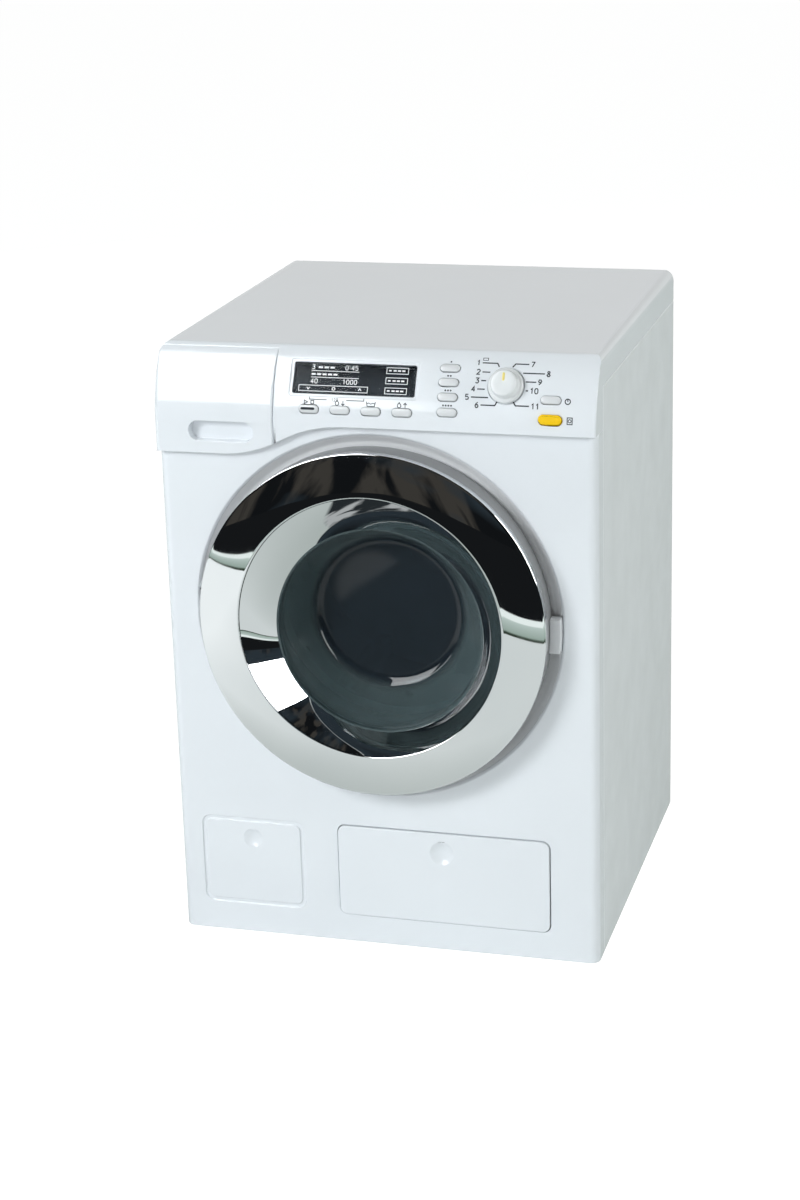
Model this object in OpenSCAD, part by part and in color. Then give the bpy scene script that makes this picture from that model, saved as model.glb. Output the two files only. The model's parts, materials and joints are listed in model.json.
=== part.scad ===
// Toy front-loading washing machine: a moulded cabinet with a turning drum,
// an opening round door, sprung keys, a program knob, a detergent drawer and
// a water tray. Millimetres, +Z up, front towards -Y. The origin is the centre
// of the base, on the surface that the toy stands on.

/* [Cabinet] */
// Width of the cabinet
body_w = 185; // [180:1:196]
// Depth from the face of the front panel to the back
body_d = 182; // [180:1:200]
// Height to the top of the cover
body_h = 261; // [258:1:276]
// Wall thickness of the moulded shells
wall = 2.4; // [2:0.1:2.8]
// Radius of the upright corners
corner_r = 4; // [3.5:0.5:6]
// Radius of the long top edges
top_edge_r = 5; // [4:0.5:7]
// How far the front panel wraps round the sides
front_wrap = 12; // [10.5:0.5:15]
// Height of the top cover's side skirt
skirt_h = 13; // [10:0.5:16]
// Gap at the seams between fixed shells
seam_gap = 0.2; // [0.1:0.05:0.3]

/* [Fascia] */
// How far the fascia stands proud of the front panel
fascia_proud = 3.2; // [2.4:0.2:4]
// Height of the fascia on the right
fascia_right_h = 30.5; // [30:0.5:33]
// Height of the fascia on the left, where the drawer is
fascia_left_h = 43.8; // [42:0.2:46]
// Radius of the fascia's curved upper face
fascia_r = 41; // [39:1:48]
// Height of the curved upper face
fascia_curve_h = 31; // [30:0.5:32]
// Fillet between the fascia and the top
crest_r = 3; // [2:0.5:4]
// Place across the width where the lower edge rises
rise_x = -38; // [-40:1:-34]
// Run of the rise in the lower edge
rise_run = 52; // [46:1:56]
// Angle at which the controls lean back
control_tilt = 27; // [25:1:29]

/* [Keys] */
// Length of an oblong key
key_len = 8.1; // [7:0.1:8.8]
// Height of an oblong key
key_h = 3.1; // [2.6:0.1:3.4]
// How far a key stands proud of the fascia
key_proud = 1; // [0.8:0.1:1.6]
// Travel of a key
key_travel = 0.8; // [0.5:0.1:0.8]
// Clearance round a key
key_gap = 0.25; // [0.15:0.05:0.3]
// Length of the door key
door_key_len = 9.4; // [8.6:0.1:10.4]
// Height of the door key
door_key_h = 3.7; // [3.2:0.1:4]
// Travel of the door key
door_key_travel = 1.2; // [0.8:0.1:1.2]
// Distance between the keys of the lower row
row_pitch = 13; // [12.4:0.2:13.6]
// Third key of the lower row, from the centre line
row_x = 0.4; // [-0.4:0.2:1]
// Height of the lower row up the slope
row_v = -11.7; // [-12:0.1:-11.3]
// Column of option keys, from the centre line
column_x = 32; // [31.4:0.2:32.6]
// Heights of the option and spin keys up the slope
column_v = [7.1, 1.1, -4.9, -10.9];
// Power and door keys, from the centre line
power_x = 74.1; // [73.5:0.1:74.5]
// Height of the power key up the slope
power_v = -4.5; // [-4.7:0.1:-4]
// Height of the door key up the slope
door_key_v = -12.2; // [-12.5:0.1:-12]

/* [Knob and display] */
// Radius of the knob's base
knob_r = 7.2; // [6.5:0.1:8]
// Radius of the knob's cap
knob_cap_r = 5.1; // [4.4:0.1:5.6]
// Height of the knob
knob_h = 6.6; // [5.6:0.2:8]
// Knob centre, from the centre line
knob_x = 55.5; // [54.5:0.1:56.5]
// Height of the knob up the slope
knob_v = 0.6; // [0.2:0.1:1]
// Radius of the knob's shaft
shaft_r = 2; // [1.6:0.1:2.4]
// Width of the display window
display_w = 51.4; // [48:0.2:52]
// Height of the display window
display_h = 13.2; // [12:0.2:14]
// Centre of the display, from the centre line
display_x = -7.5; // [-8:0.1:-7]
// Height of the display up the slope
display_v = 1.2; // [0.8:0.1:1.6]

/* [Door] */
// Outer radius of the chrome ring
door_r = 73.8; // [72:0.2:75]
// Width of the recess round the ring
recess_gap = 4.2; // [4:0.1:4.6]
// Radius of the step between chrome ring and funnel
step_r = 56.1; // [55:0.1:58]
// How far the chrome ring's rim stands proud of the panel
rim_proud = 12; // [11:0.2:13]
// How far the step stands proud of the panel
step_proud = 14.9; // [14:0.1:16]
// Radius of the glass where it meets the funnel
glass_r = 45; // [43:0.2:45.4]
// How far the glass rim lies below the door's centre
glass_drop = 4.6; // [4:0.2:6]
// How far the glass rim lies sideways of the door's centre
glass_x = 1; // [0:0.1:1.2]
// How far the glass rim stands proud of the panel
glass_proud = 2.8; // [1.6:0.1:3.4]
// Radius of the bowl's end
bowl_r = 32.5; // [30:0.5:34]
// How far the bowl's end lies below the door's centre
bowl_drop = 2.2; // [1:0.2:4]
// Depth of the bowl behind the front panel's face
bowl_depth = 20; // [17:0.5:21]
// Thickness of the door's mouldings
door_wall = 2; // [1.6:0.1:2.2]
// Thickness of the glass
glass_wall = 1.4; // [1:0.1:1.6]
// Radius of the hinge pin
pin_r = 1.1; // [0.9:0.05:1.2]
// Radius of the hinge knuckles
knuckle_r = 2; // [1.9:0.05:2.1]
// Distance from the chrome ring's edge to the hinge axis
hinge_out = 1.8; // [1.6:0.1:2]
// Running clearance of pins and shafts
run_gap = 0.06; // [0.04:0.01:0.09]
// Clearance of glued and pressed fits
fit_gap = 0.02; // [0.01:0.01:0.04]

/* [Drum and tub] */
// Outer radius of the drum
drum_r = 60; // [57:0.5:61]
// Depth of the drum
drum_depth = 78; // [60:1:82]
// Wall of the drum
drum_wall = 1.8; // [1.4:0.1:2]
// Radius of the drum's mouth
mouth_r = 49; // [47:0.5:51]
// Radius of the holes in the drum
hole_r = 2; // [1.5:0.1:2.2]
// Rows of holes along the drum
hole_rows = 5; // [3:1:5]
// Holes between two lifters in each row
holes_between = 4; // [3:1:4]
// Number of lifters in the drum
lifters = 3; // [3:1:3]
// Height of the lifters
lifter_h = 8; // [6:0.5:10]
// Gap between drum and tub
drum_gap = 3; // [2.5:0.1:3.4]
// Wall of the tub
tub_wall = 2; // [1.6:0.1:2.4]
// Distance from the front panel's face to the tub
tub_y = 24; // [23:0.5:26]
// Radius of the drum's axle
axle_r = 3; // [2.5:0.1:3.4]

/* [Drive] */
// Size of the gear teeth, as pitch diameter per tooth
gear_module = 1; // [0.95:0.01:1.05]
// Teeth of the gear on the drum's axle
drum_teeth = 60; // [60:5:60]
// Teeth of the idler's small gear
idler_small_teeth = 12; // [12:1:12]
// Teeth of the idler's large gear
idler_large_teeth = 36; // [36:1:36]
// Teeth of the motor's pinion
pinion_teeth = 10; // [10:1:10]
// Width of a gear's face
gear_w = 4.6; // [4:0.1:5]
// Radius of the motor's can
motor_r = 10.2; // [9:0.1:10.4]
// Width across the motor's flats
motor_flat = 15.4; // [14:0.1:16]
// Length of the motor's can
motor_len = 25; // [20:0.5:27]
// Radius of the motor's shaft
motor_shaft_r = 1; // [0.8:0.1:1.1]
// Radius of the idler's pin
idler_pin_r = 1.5; // [1.2:0.1:1.7]

/* [Detergent drawer] */
// Seam beside the drawer's front, from the centre line
drawer_edge_x = -41.1; // [-41.6:0.1:-40.6]
// Length of the drawer's cups behind the front
drawer_len = 88; // [70:1:92]
// Wall of the drawer and its housing
drawer_wall = 1.6; // [1.2:0.1:1.8]
// Depth of the finger recess
grip_depth = 4.2; // [3:0.1:4.4]
// Length of the finger recess
grip_w = 28; // [24:0.5:30]
// Height of the finger recess
grip_h = 8.4; // [7:0.1:9]
// Sliding clearance of drawer and tray
slide_gap = 0.4; // [0.3:0.05:0.5]

/* [Water tray] */
// Width of the tray's front
tray_w = 92.4; // [84:0.4:94]
// Height of the tray's front
tray_h = 41.2; // [36:0.4:42]
// Centre of the tray, from the centre line
tray_x = 25.4; // [24:0.2:26]
// Height of the tray's lower edge
tray_z = 12.8; // [12:0.2:14]
// Length of the tray
tray_len = 104; // [80:1:112]
// Corner radius of the tray's front
tray_r = 3.2; // [2:0.2:4]
// Wall of the tray
tray_wall = 1.8; // [1.4:0.1:2]

/* [Battery box] */
// Radius of a cell
cell_r = 7.2; // [7:0.05:7.3]
// Length of a cell
cell_len = 50.5; // [49:0.5:51]
// Number of cells
cells = 4; // [4:1:4]
// Height of the battery opening's lower edge
battery_z = 16; // [14:0.5:18]

/* [Hidden] */
$fn = 96;

eps = 0.01;
front_y = -body_d / 2;
back_y = body_d / 2;
seam_z = body_h - skirt_h;
right_z = body_h - fascia_right_h;
left_z = body_h - fascia_left_h;

// Centre of the fascia's curve, from the front panel's face and the floor
curve_y = fascia_r - fascia_proud;
curve_z = body_h - fascia_curve_h;

// Origin of the control frame, from the front panel's face and the floor
origin_y = curve_y - fascia_r * cos(control_tilt);
origin_z = curve_z + fascia_r * sin(control_tilt);

// Centre of the door, hinge axis and recess
recess_r = door_r + recess_gap;
door_z = right_z - 4 - recess_r;
hinge_x = -door_r - hinge_out;
hinge_y = 0.5;

// ---------- shared shapes ----------

// Rectangle with round corners, centred
module round_rect(w, h, r) {
    square([w - 2 * r, h], center = true);
    square([w, h - 2 * r], center = true);
    for (sx = [-1, 1])
        for (sy = [-1, 1])
            translate([sx * (w / 2 - r), sy * (h / 2 - r)])
                circle(r);
}

// Oblong plate with round ends, centred, standing on z = 0
module oblong(len, wid, h) {
    linear_extrude(h) {
        square([len - wid, wid], center = true);
        for (s = [-1, 1])
            translate([s * (len - wid) / 2, 0])
                circle(wid / 2);
    }
}

// Box from one corner to the opposite one
module span(a, b) {
    translate(a)
        cube(b - a);
}

// Frame on the front panel's face at the door's centre: X across, Y up, Z out
module on_door() {
    translate([0, front_y, door_z])
        rotate([90, 0, 0])
            children();
}

// Frame on the curved face of the fascia: X across, Y up the slope, Z out
module on_controls() {
    translate([0, front_y + origin_y, origin_z])
        rotate([90 - control_tilt, 0, 0])
            children();
}

// Height of the curved face over the control frame, at v up the slope
function face_w(v) = sqrt(pow(fascia_r, 2) - pow(v, 2)) - fascia_r;

// Everything within the cabinet's outline as seen from above
module plan_prism(inset, front, z0, z1) {
    r = corner_r - inset / 2;
    depth = back_y - inset - (front + inset);
    translate([0, (back_y - inset + front + inset) / 2, z0])
        linear_extrude(z1 - z0)
            round_rect(body_w - 2 * inset, depth, r);
}

// Side outline of the cabinet's upper part: curved face, crest and flat top
module hood_side(inset) {
    top = body_h - inset;
    big_r = fascia_r - inset;
    dz = top - crest_r - curve_z;
    crest_y = curve_y - sqrt(pow(big_r - crest_r, 2) - pow(dz, 2));
    touch = [curve_y, curve_z]
        + [crest_y - curve_y, dz] * big_r / (big_r - crest_r);
    difference() {
        intersection() {
            union() {
                translate([curve_y - big_r, left_z - 40])
                    square([big_r, 40 + curve_z - left_z]);
                translate([curve_y, curve_z])
                    circle(big_r, $fn = 180);
                translate([curve_y, left_z - 40])
                    square([body_d, body_h - left_z + 40]);
            }
            translate([-20, left_z - 50])
                square([body_d + 40, top - left_z + 50]);
        }
        difference() {
            polygon([touch, [touch[0] - 1, top + 1], [crest_y, top + 1],
                [crest_y, top - crest_r]]);
            translate([crest_y, top - crest_r])
                circle(crest_r);
        }
    }
}

// The cabinet's upper part as a solid, drawn in by inset on every side
module hood_form(inset) {
    edge_r = top_edge_r - inset / 2;
    reach = body_w + 20;
    intersection() {
        plan_prism(inset, front_y - fascia_proud, left_z - 30, body_h + 1);
        translate([0, back_y + 5, body_h - inset - 60])
            rotate([90, 0, 0])
                linear_extrude(body_d + 20)
                    round_rect(body_w - 2 * inset, 120, edge_r);
        translate([-reach / 2, front_y, 0])
            rotate([90, 0, 90])
                linear_extrude(reach)
                    hood_side(inset);
    }
}

// Height of the fascia's lower edge at x: a rise made of two equal arcs
rise_h = right_z - left_z;
rise_r = (pow(rise_run, 2) + pow(rise_h, 2)) / (4 * rise_h);
function edge_z(x) =
    x <= rise_x - rise_run / 2 ? left_z
    : x >= rise_x + rise_run / 2 ? right_z
    : x < rise_x ? left_z + rise_r - sqrt(pow(rise_r, 2) - pow(x - rise_x + rise_run / 2, 2))
    : right_z - rise_r + sqrt(pow(rise_r, 2) - pow(rise_x + rise_run / 2 - x, 2));

// Everything above the fascia's lower edge, from y0 to y1, raised by up
module above_edge(y0, y1, up) {
    steps = 20;
    rise = [for (i = [0:steps]) rise_x + rise_run * (i / steps - 0.5)];
    translate([0, y1, 0])
        rotate([90, 0, 0])
            linear_extrude(y1 - y0)
                polygon(concat(
                    [[-body_w, left_z + up]],
                    [for (x = rise) [x, edge_z(x) + up]],
                    [[body_w, right_z + up], [body_w, body_h + 50], [-body_w, body_h + 50]]));
}

// ---------- cabinet ----------

drawer_seam_y = front_y + 9.3;
boss_r = 4;
boss_in = 9;
screw_r = 1.2;
head_r = 3;
head_h = 1.6;
plate_boss_h = 2;
cell_pitch = 2 * cell_r + 0.3;
contact_room = 3;
battery_w = cells * cell_pitch + 1.2;
battery_h = cell_len + 2 * contact_room;
cover_lip = 3;
cover_t = wall / 2;
cup_z = battery_z + battery_h + 6.6;
cup_r = 4.2;
cup_d = 3.4;
cup_wall = 1.6;
speaker_x = 42.5 - body_w / 2;
speaker_z = door_z + 50;
speaker_r = 18;
speaker_h = 12;

screw_places = [for (sx = [-1, 1], y = [front_y + front_wrap + boss_in, back_y - boss_in])
    [sx * (body_w / 2 - boss_in), y]];

// Opening in the back for the battery cover
module battery_hole(grow, y0, y1) {
    span([-battery_w / 2 - grow, y0, battery_z - grow],
        [battery_w / 2 + grow, y1, battery_z + battery_h + grow]);
}

// Screw cup of the battery cover: Z points out of the back
module on_cup() {
    translate([0, back_y - cup_d - seam_gap, cup_z])
        rotate([-90, 0, 0])
            children();
}

module body_shell() {
    post_z = wall + plate_boss_h + seam_gap;
    rim_y = front_y + front_wrap + seam_gap;
    color("gainsboro") {
        difference() {
            plan_prism(0, front_y, 0, seam_z - seam_gap);
            plan_prism(wall, front_y, -1, body_h);
            span([-body_w, front_y - 10, -1], [body_w, rim_y, body_h]);
            battery_hole(0, back_y - wall - 1, back_y + 1);
            battery_hole(cover_lip, back_y - cover_t, back_y + 1);
            for (i = [-2:2])
                translate([speaker_x, back_y + 1, speaker_z + i * 5])
                    rotate([90, 0, 0])
                        oblong(24 - 4 * abs(i), 2, wall + 2);
            on_cup()
                cylinder(r = cup_r + seam_gap, h = 20);
        }
        // Boss for the battery cover's screw
        on_cup()
            difference() {
                translate([0, 0, -9])
                    cylinder(r = cup_r + cup_wall, h = 9 + cup_d - seam_gap - wall / 2);
                cylinder(r = cup_r + seam_gap, h = 20);
                translate([0, 0, -8])
                    cylinder(r = screw_r, h = 20, $fn = 32);
            }
        // Strip beside the drawer's front, up to the side skirt
        span([-body_w / 2, drawer_seam_y + 0.3, left_z + seam_gap],
            [-body_w / 2 + wall, rim_y + eps, seam_z - seam_gap]);
        // Screw posts in the corners
        for (p = screw_places)
            difference() {
                union() {
                    translate([p[0], p[1], post_z])
                        cylinder(r = boss_r, h = 22);
                    span([p[0] > 0 ? p[0] : -body_w / 2 + wall - eps, p[1] - 1, post_z],
                        [p[0] > 0 ? body_w / 2 - wall + eps : p[0], p[1] + 1, post_z + 22]);
                }
                translate([p[0], p[1], post_z - 1])
                    cylinder(r = screw_r, h = 16, $fn = 32);
            }
    }
}

edge_soft = 1;

// Shallow finger dimple in a face that looks to the front
module dimple(place, open_r, depth) {
    ball_r = (pow(open_r, 2) + pow(depth, 2)) / (2 * depth);
    translate(place - [0, ball_r - depth, 0])
        sphere(r = ball_r);
}

flap_w = 46;
flap_h = 40.4;
flap_x = 33.1 - body_w / 2;
flap_z = 33.4;
rod_x = power_x;
rod_y = front_y + 9.6;
rod_r = 1.5;
guide_z = [door_z + 44, door_z + 62];

module front_panel() {
    color("white") {
        difference() {
            plan_prism(0, front_y, 0, right_z);
            plan_prism(wall, front_y, -1, body_h);
            span([-body_w, front_y + front_wrap, -1], [body_w, back_y + 10, body_h]);
            above_edge(front_y - 1, back_y, -seam_gap);
            on_door()
                translate([0, 0, -10])
                    cylinder(r = recess_r, h = 20, $fn = 180);
            // Soft edge of the recess
            on_door()
                translate([0, 0, -edge_soft])
                    cylinder(r1 = recess_r, r2 = recess_r + 2 * edge_soft, h = 2 * edge_soft, $fn = 180);
            hinge_pocket();
            // Opening for the water tray
            translate([tray_x, front_y + 10, tray_z + tray_h / 2])
                rotate([90, 0, 0])
                    linear_extrude(20)
                        round_rect(tray_w + 2 * slide_gap, tray_h + 2 * slide_gap, tray_r + slide_gap);
            // Raised outline of the false flap on the left
            translate([flap_x, front_y, flap_z])
                rotate([90, 0, 0])
                    translate([0, 0, -0.6])
                        linear_extrude(2)
                            difference() {
                                round_rect(flap_w, flap_h, 4);
                                round_rect(flap_w - 3.4, flap_h - 3.4, 2.6);
                            }
            dimple([flap_x, front_y, flap_z + 11], 4.4, 1.4);
        }
        // Lugs that guide the latch rod
        for (z = guide_z)
            difference() {
                span([rod_x - 3.5, front_y + wall - eps, z - 2], [rod_x + 3.5, rod_y + 3.4, z + 2]);
                translate([rod_x, rod_y, z - 3])
                    cylinder(r = rod_r + run_gap, h = 6, $fn = 32);
            }
    }
}

// Sizes that the controls share
pcb_w = -16.6;
pcb_t = 1.6;
pad_t = 0.8;
dome_h = key_travel + 1.2;
pillar_r = 2;
pillars = [[-38, -6], [24, -6], [44, -9], [63, 8], [-38, 8], [24, 8]];
key_places = [
    [row_x - 2 * row_pitch, row_v], [row_x - row_pitch, row_v], [row_x, row_v],
    [row_x + row_pitch, row_v], [column_x, column_v[0]], [column_x, column_v[1]],
    [column_x, column_v[2]], [column_x, column_v[3]], [power_x, power_v]
];
window_sink = 0.95;
window_t = 1.2;
card_t = 0.4;
ledge = 1.5;

// Frame on the display's centre, tilted to the curved face there
module on_display() {
    on_controls()
        translate([display_x, display_v, face_w(display_v)])
            rotate([-asin(display_v / fascia_r), 0, 0])
                children();
}

module top_cover() {
    color("white") {
        difference() {
            union() {
                difference() {
                    hood_form(0);
                    hood_form(wall);
                }
                // Frame that carries the display from behind
                on_display()
                    translate([0, 0, -4.4])
                        linear_extrude(3)
                            round_rect(display_w + 5, display_h + 5, 1.5);
            }
            // Room below the side skirt
            span([-body_w, front_y + front_wrap, 0], [body_w, back_y + 10, seam_z]);
            span([-body_w, drawer_seam_y, 0], [drawer_edge_x, back_y, seam_z]);
            difference() {
                span([-body_w, front_y - 10, 0], [body_w, front_y + front_wrap, body_h]);
                above_edge(front_y - 20, back_y, 0);
            }
            // Place of the drawer's front
            span([-body_w, front_y - 10, 0], [drawer_edge_x, drawer_seam_y, body_h + 1]);
            on_controls() {
                for (p = key_places)
                    translate([p[0], p[1], -12])
                        oblong(key_len + 2 * key_gap, key_h + 2 * key_gap, 15);
                translate([power_x, door_key_v, -12])
                    oblong(door_key_len + 2 * key_gap, door_key_h + 2 * key_gap, 15);
                translate([knob_x, knob_v, -12])
                    cylinder(r = shaft_r + 0.5, h = 20);
                translate([knob_x, knob_v, face_w(knob_r + abs(knob_v)) - 0.3])
                    cylinder(r = knob_r + 0.4, h = 20);
            }
            // Border, seat and opening of the display
            on_display() {
                translate([0, 0, -window_sink])
                    linear_extrude(10)
                        round_rect(display_w + 2.4, display_h + 2.4, 1);
                translate([0, 0, -window_sink - window_t - card_t])
                    linear_extrude(10)
                        round_rect(display_w, display_h, 0.8);
                translate([0, 0, -8])
                    linear_extrude(20)
                        round_rect(display_w - 2 * ledge, display_h - 2 * ledge, 0.8);
            }
        }
        // Pillars that carry the circuit board
        on_controls()
            for (p = pillars)
                translate([p[0], p[1], pcb_w + pcb_t])
                    cylinder(r = pillar_r, h = face_w(p[1]) - wall - pcb_w - pcb_t + 1, $fn = 32);
    }
}

module base_plate() {
    color("gainsboro")
        difference() {
            union() {
                plan_prism(wall + seam_gap, front_y, 0, wall);
                for (p = screw_places)
                    translate([p[0], p[1], 0])
                        cylinder(r = 5, h = wall + plate_boss_h);
            }
            for (p = screw_places) {
                translate([p[0], p[1], -1])
                    cylinder(r = screw_r + 0.3, h = 10, $fn = 32);
                translate([p[0], p[1], -1])
                    cylinder(r = head_r + 0.3, h = 1 + head_h + 0.6);
            }
        }
}

module housing_screws() {
    color("silver")
        for (p = screw_places)
            translate([p[0], p[1], 0.6]) {
                cylinder(r = head_r, h = head_h);
                cylinder(r = screw_r, h = 14, $fn = 32);
            }
}

// ---------- door surround, seal and hinge ----------

floor_d = 4.6;
sleeve_r = 60;
sleeve_d = 13;
ear_h = 4.6;
knuckle_h = 7;
ear_gap = 0.3;
hinge_half = knuckle_h / 2 + ear_gap + ear_h;
tab_drop = 2;
hook_r = 67;
// Undercut of the latch hook: a little less than the way the rod goes down
latch_travel = door_key_travel * (cos(control_tilt) + sin(control_tilt));
hook_cut = latch_travel - 0.3;

// Hinge axis, along the cabinet's height, with z = 0 at the door's centre
module on_hinge() {
    translate([hinge_x, front_y + hinge_y, door_z])
        children();
}

// Room for the hinge knuckles
module hinge_pocket() {
    on_hinge()
        translate([0, 0, -hinge_half - 0.5])
            cylinder(r = knuckle_r + 0.4, h = 2 * hinge_half + 1, $fn = 48);
}

module door_surround() {
    color("darkgray") {
        difference() {
            on_door()
                rotate_extrude($fn = 180)
                    polygon([
                        [recess_r - seam_gap, 0], [recess_r - seam_gap, -floor_d - 2],
                        [sleeve_r, -floor_d - 2], [sleeve_r, -sleeve_d], [sleeve_r - 2, -sleeve_d],
                        [sleeve_r - 2, -floor_d], [recess_r - 4, -floor_d],
                        [recess_r - 2.4, -floor_d + 1], [recess_r - 0.9, -1.2]]);
            hinge_pocket();
            // Slot for the latch hook
            span([hook_r - 2.6, front_y, door_z - tab_drop - 7.5],
                [hook_r + 3.2, front_y + floor_d + 4, door_z - tab_drop + 5]);
            // Room for the door's finger tab
            span([recess_r - 5, front_y - 1, door_z - tab_drop - 8],
                [recess_r + 1, front_y + 2.6, door_z - tab_drop + 8]);
        }
        // Fixed knuckle of the hinge
        difference() {
            union() {
                on_hinge()
                    translate([0, 0, -knuckle_h / 2])
                        cylinder(r = knuckle_r, h = knuckle_h, $fn = 48);
                span([hinge_x - 1, front_y + hinge_y, door_z - knuckle_h / 2],
                    [hinge_x + 1, front_y + floor_d + 1, door_z + knuckle_h / 2]);
            }
            on_hinge()
                translate([0, 0, -knuckle_h])
                    cylinder(r = pin_r, h = 2 * knuckle_h, $fn = 48);
        }
    }
}

module door_seal() {
    in_r = mouth_r + 2;
    color("dimgray")
        on_door()
            rotate_extrude($fn = 120)
                polygon([
                    [sleeve_r - 2 - seam_gap, -8], [sleeve_r - 2 - seam_gap, -15],
                    [in_r + 3, -17], [in_r + 3, -tub_y + 0.2], [in_r, -tub_y + 0.2],
                    [in_r, -15], [in_r + 3, -12], [in_r + 3, -8]]);
}

module hinge_pin() {
    color("silver")
        on_hinge()
            translate([0, 0, -hinge_half - 0.4])
                cylinder(r = pin_r, h = 2 * hinge_half + 0.8, $fn = 48);
}

// ---------- door ----------

frame_r = door_r - 0.6;
frame_back = 2.6;
flange_t = 1.2;
flange_w = door_wall - frame_back;
ring_t = 1.4;

module door_frame() {
    hook_z = -tab_drop;
    color("white")
        difference() {
            union() {
                on_door() {
                    // Rim and back plate
                    difference() {
                        translate([0, 0, -frame_back])
                            cylinder(r = frame_r, h = frame_back + rim_proud - ring_t, $fn = 180);
                        translate([0, 0, -frame_back + door_wall])
                            cylinder(r = frame_r - door_wall, h = 40, $fn = 180);
                        translate([glass_x, -glass_drop, -10])
                            cylinder(r = glass_r + 0.8, h = 20, $fn = 180);
                    }
                    // Latch hook
                    translate([hook_r - 1.5, hook_z - 3.5, -floor_d - 9])
                        cube([3, 7, floor_d + 9 - frame_back + 1]);
                    translate([hook_r - 1.5, hook_z - 3.5 - hook_cut, -floor_d - 9])
                        cube([3, 3, 2.4]);
                }
                // Hinge ears
                for (s = [-1, 1])
                    on_hinge()
                        translate([0, 0, s * (hinge_half - ear_h / 2) - ear_h / 2]) {
                            cylinder(r = knuckle_r, h = ear_h, $fn = 48);
                            translate([0, -1.8, 0])
                                cube([hinge_out + door_r - frame_r + 3, 3.6, ear_h]);
                        }
            }
            on_hinge()
                translate([0, 0, -hinge_half - 1])
                    cylinder(r = pin_r + run_gap, h = 2 * hinge_half + 2, $fn = 48);
        }
}

// Outer chrome ring: a shallow crown between the rim and the step
module door_ring() {
    drop = step_proud - rim_proud;
    run = door_r - step_r;
    crown_r = (pow(run, 2) + pow(drop, 2)) / (2 * drop);
    steps = 10;
    function crown(r) = step_proud - crown_r + sqrt(pow(crown_r, 2) - pow(r - step_r, 2));
    rs = [for (i = [0:steps]) step_r + run * i / steps];
    skirt_w = rim_proud - ring_t - 1.6;
    color("silver")
        on_door()
            rotate_extrude($fn = 180)
                polygon(concat(
                    [for (r = rs) [r, crown(r)]],
                    [[door_r, skirt_w], [frame_r + fit_gap, skirt_w], [frame_r + fit_gap, rim_proud - ring_t]],
                    [for (i = [steps - 1:-1:0]) [rs[i], crown(rs[i]) - ring_t]]));
}

// Slanting chrome funnel between the step and the glass
module door_funnel() {
    lip = 0.8;
    top_w = step_proud - 0.6;
    module cone(grow, low, high) {
        hull() {
            translate([0, 0, top_w - 1 + high])
                cylinder(r = step_r - seam_gap - ring_t + grow, h = 1, $fn = 72);
            translate([glass_x, -glass_drop, glass_proud - low])
                cylinder(r = glass_r - ring_t + grow + lip, h = 1, $fn = 72);
        }
    }
    color("silver")
        on_door()
            difference() {
                cone(ring_t, 0, 0);
                cone(0, 1, 1);
            }
}

// Bowl-shaped glass, open towards the front
module door_glass() {
    module bowl(inset, front) {
        hull() {
            translate([glass_x, -glass_drop, flange_w])
                cylinder(r = glass_r - inset, h = glass_proud - flange_w + front, $fn = 72);
            translate([0, -(glass_drop + 2 * bowl_drop) / 3, -bowl_depth + 4 + inset])
                cylinder(r = bowl_r + 3.6 - inset, h = 1, $fn = 72);
            translate([0, -bowl_drop, -bowl_depth + inset])
                cylinder(r = bowl_r - inset, h = 1, $fn = 72);
        }
    }
    color([0.3, 0.35, 0.4, 0.5])
        on_door()
            difference() {
                union() {
                    bowl(0, 0);
                    translate([glass_x, -glass_drop, flange_w])
                        cylinder(r = glass_r + 2.4, h = flange_t);
                }
                bowl(glass_wall, 1);
            }
}

module door_tab() {
    half_h = 7.4;
    color("lightgray")
        on_door()
            difference() {
                intersection() {
                    translate([frame_r - 2, -tab_drop - half_h, -1.8])
                        cube([recess_r, 2 * half_h, 5]);
                    translate([0, 0, -10])
                        cylinder(r = recess_r - 0.4, h = 20, $fn = 180);
                }
                translate([0, 0, -10])
                    cylinder(r = frame_r + fit_gap, h = 20, $fn = 180);
            }
}

// ---------- latch ----------

// The door key's leg ends over the near half of the rod's slanted top
leg_half = 1.2;
leg_v = door_key_v - leg_half;
leg_depth = rod_y - front_y - 0.9;
leg_w = (origin_y + leg_v * sin(control_tilt) - leg_depth) / cos(control_tilt);
leg_z = origin_z + leg_v * cos(control_tilt) + leg_w * sin(control_tilt);
rod_top = leg_z - 0.3 + (rod_y - front_y - leg_depth);
collar_z = guide_z[0] + 2 + 10;

module latch_rod() {
    nose_z = door_z - tab_drop - 3.5 - hook_cut - 0.4;
    color("silver") {
        difference() {
            translate([rod_x, rod_y, nose_z - 2])
                cylinder(r = rod_r, h = rod_top + rod_r - nose_z + 2, $fn = 32);
            // Slanted top that the door key's leg slides down
            translate([rod_x, rod_y, rod_top])
                rotate([45, 0, 0])
                    translate([-5, -10, 0])
                        cube([10, 20, 10]);
        }
        span([hook_r - 1.5, rod_y - 1.2, nose_z - 2.4], [rod_x, rod_y + 1.2, nose_z]);
        translate([rod_x, rod_y, collar_z])
            cylinder(r = rod_r + 1.3, h = 1.4, $fn = 32);
    }
}

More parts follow.
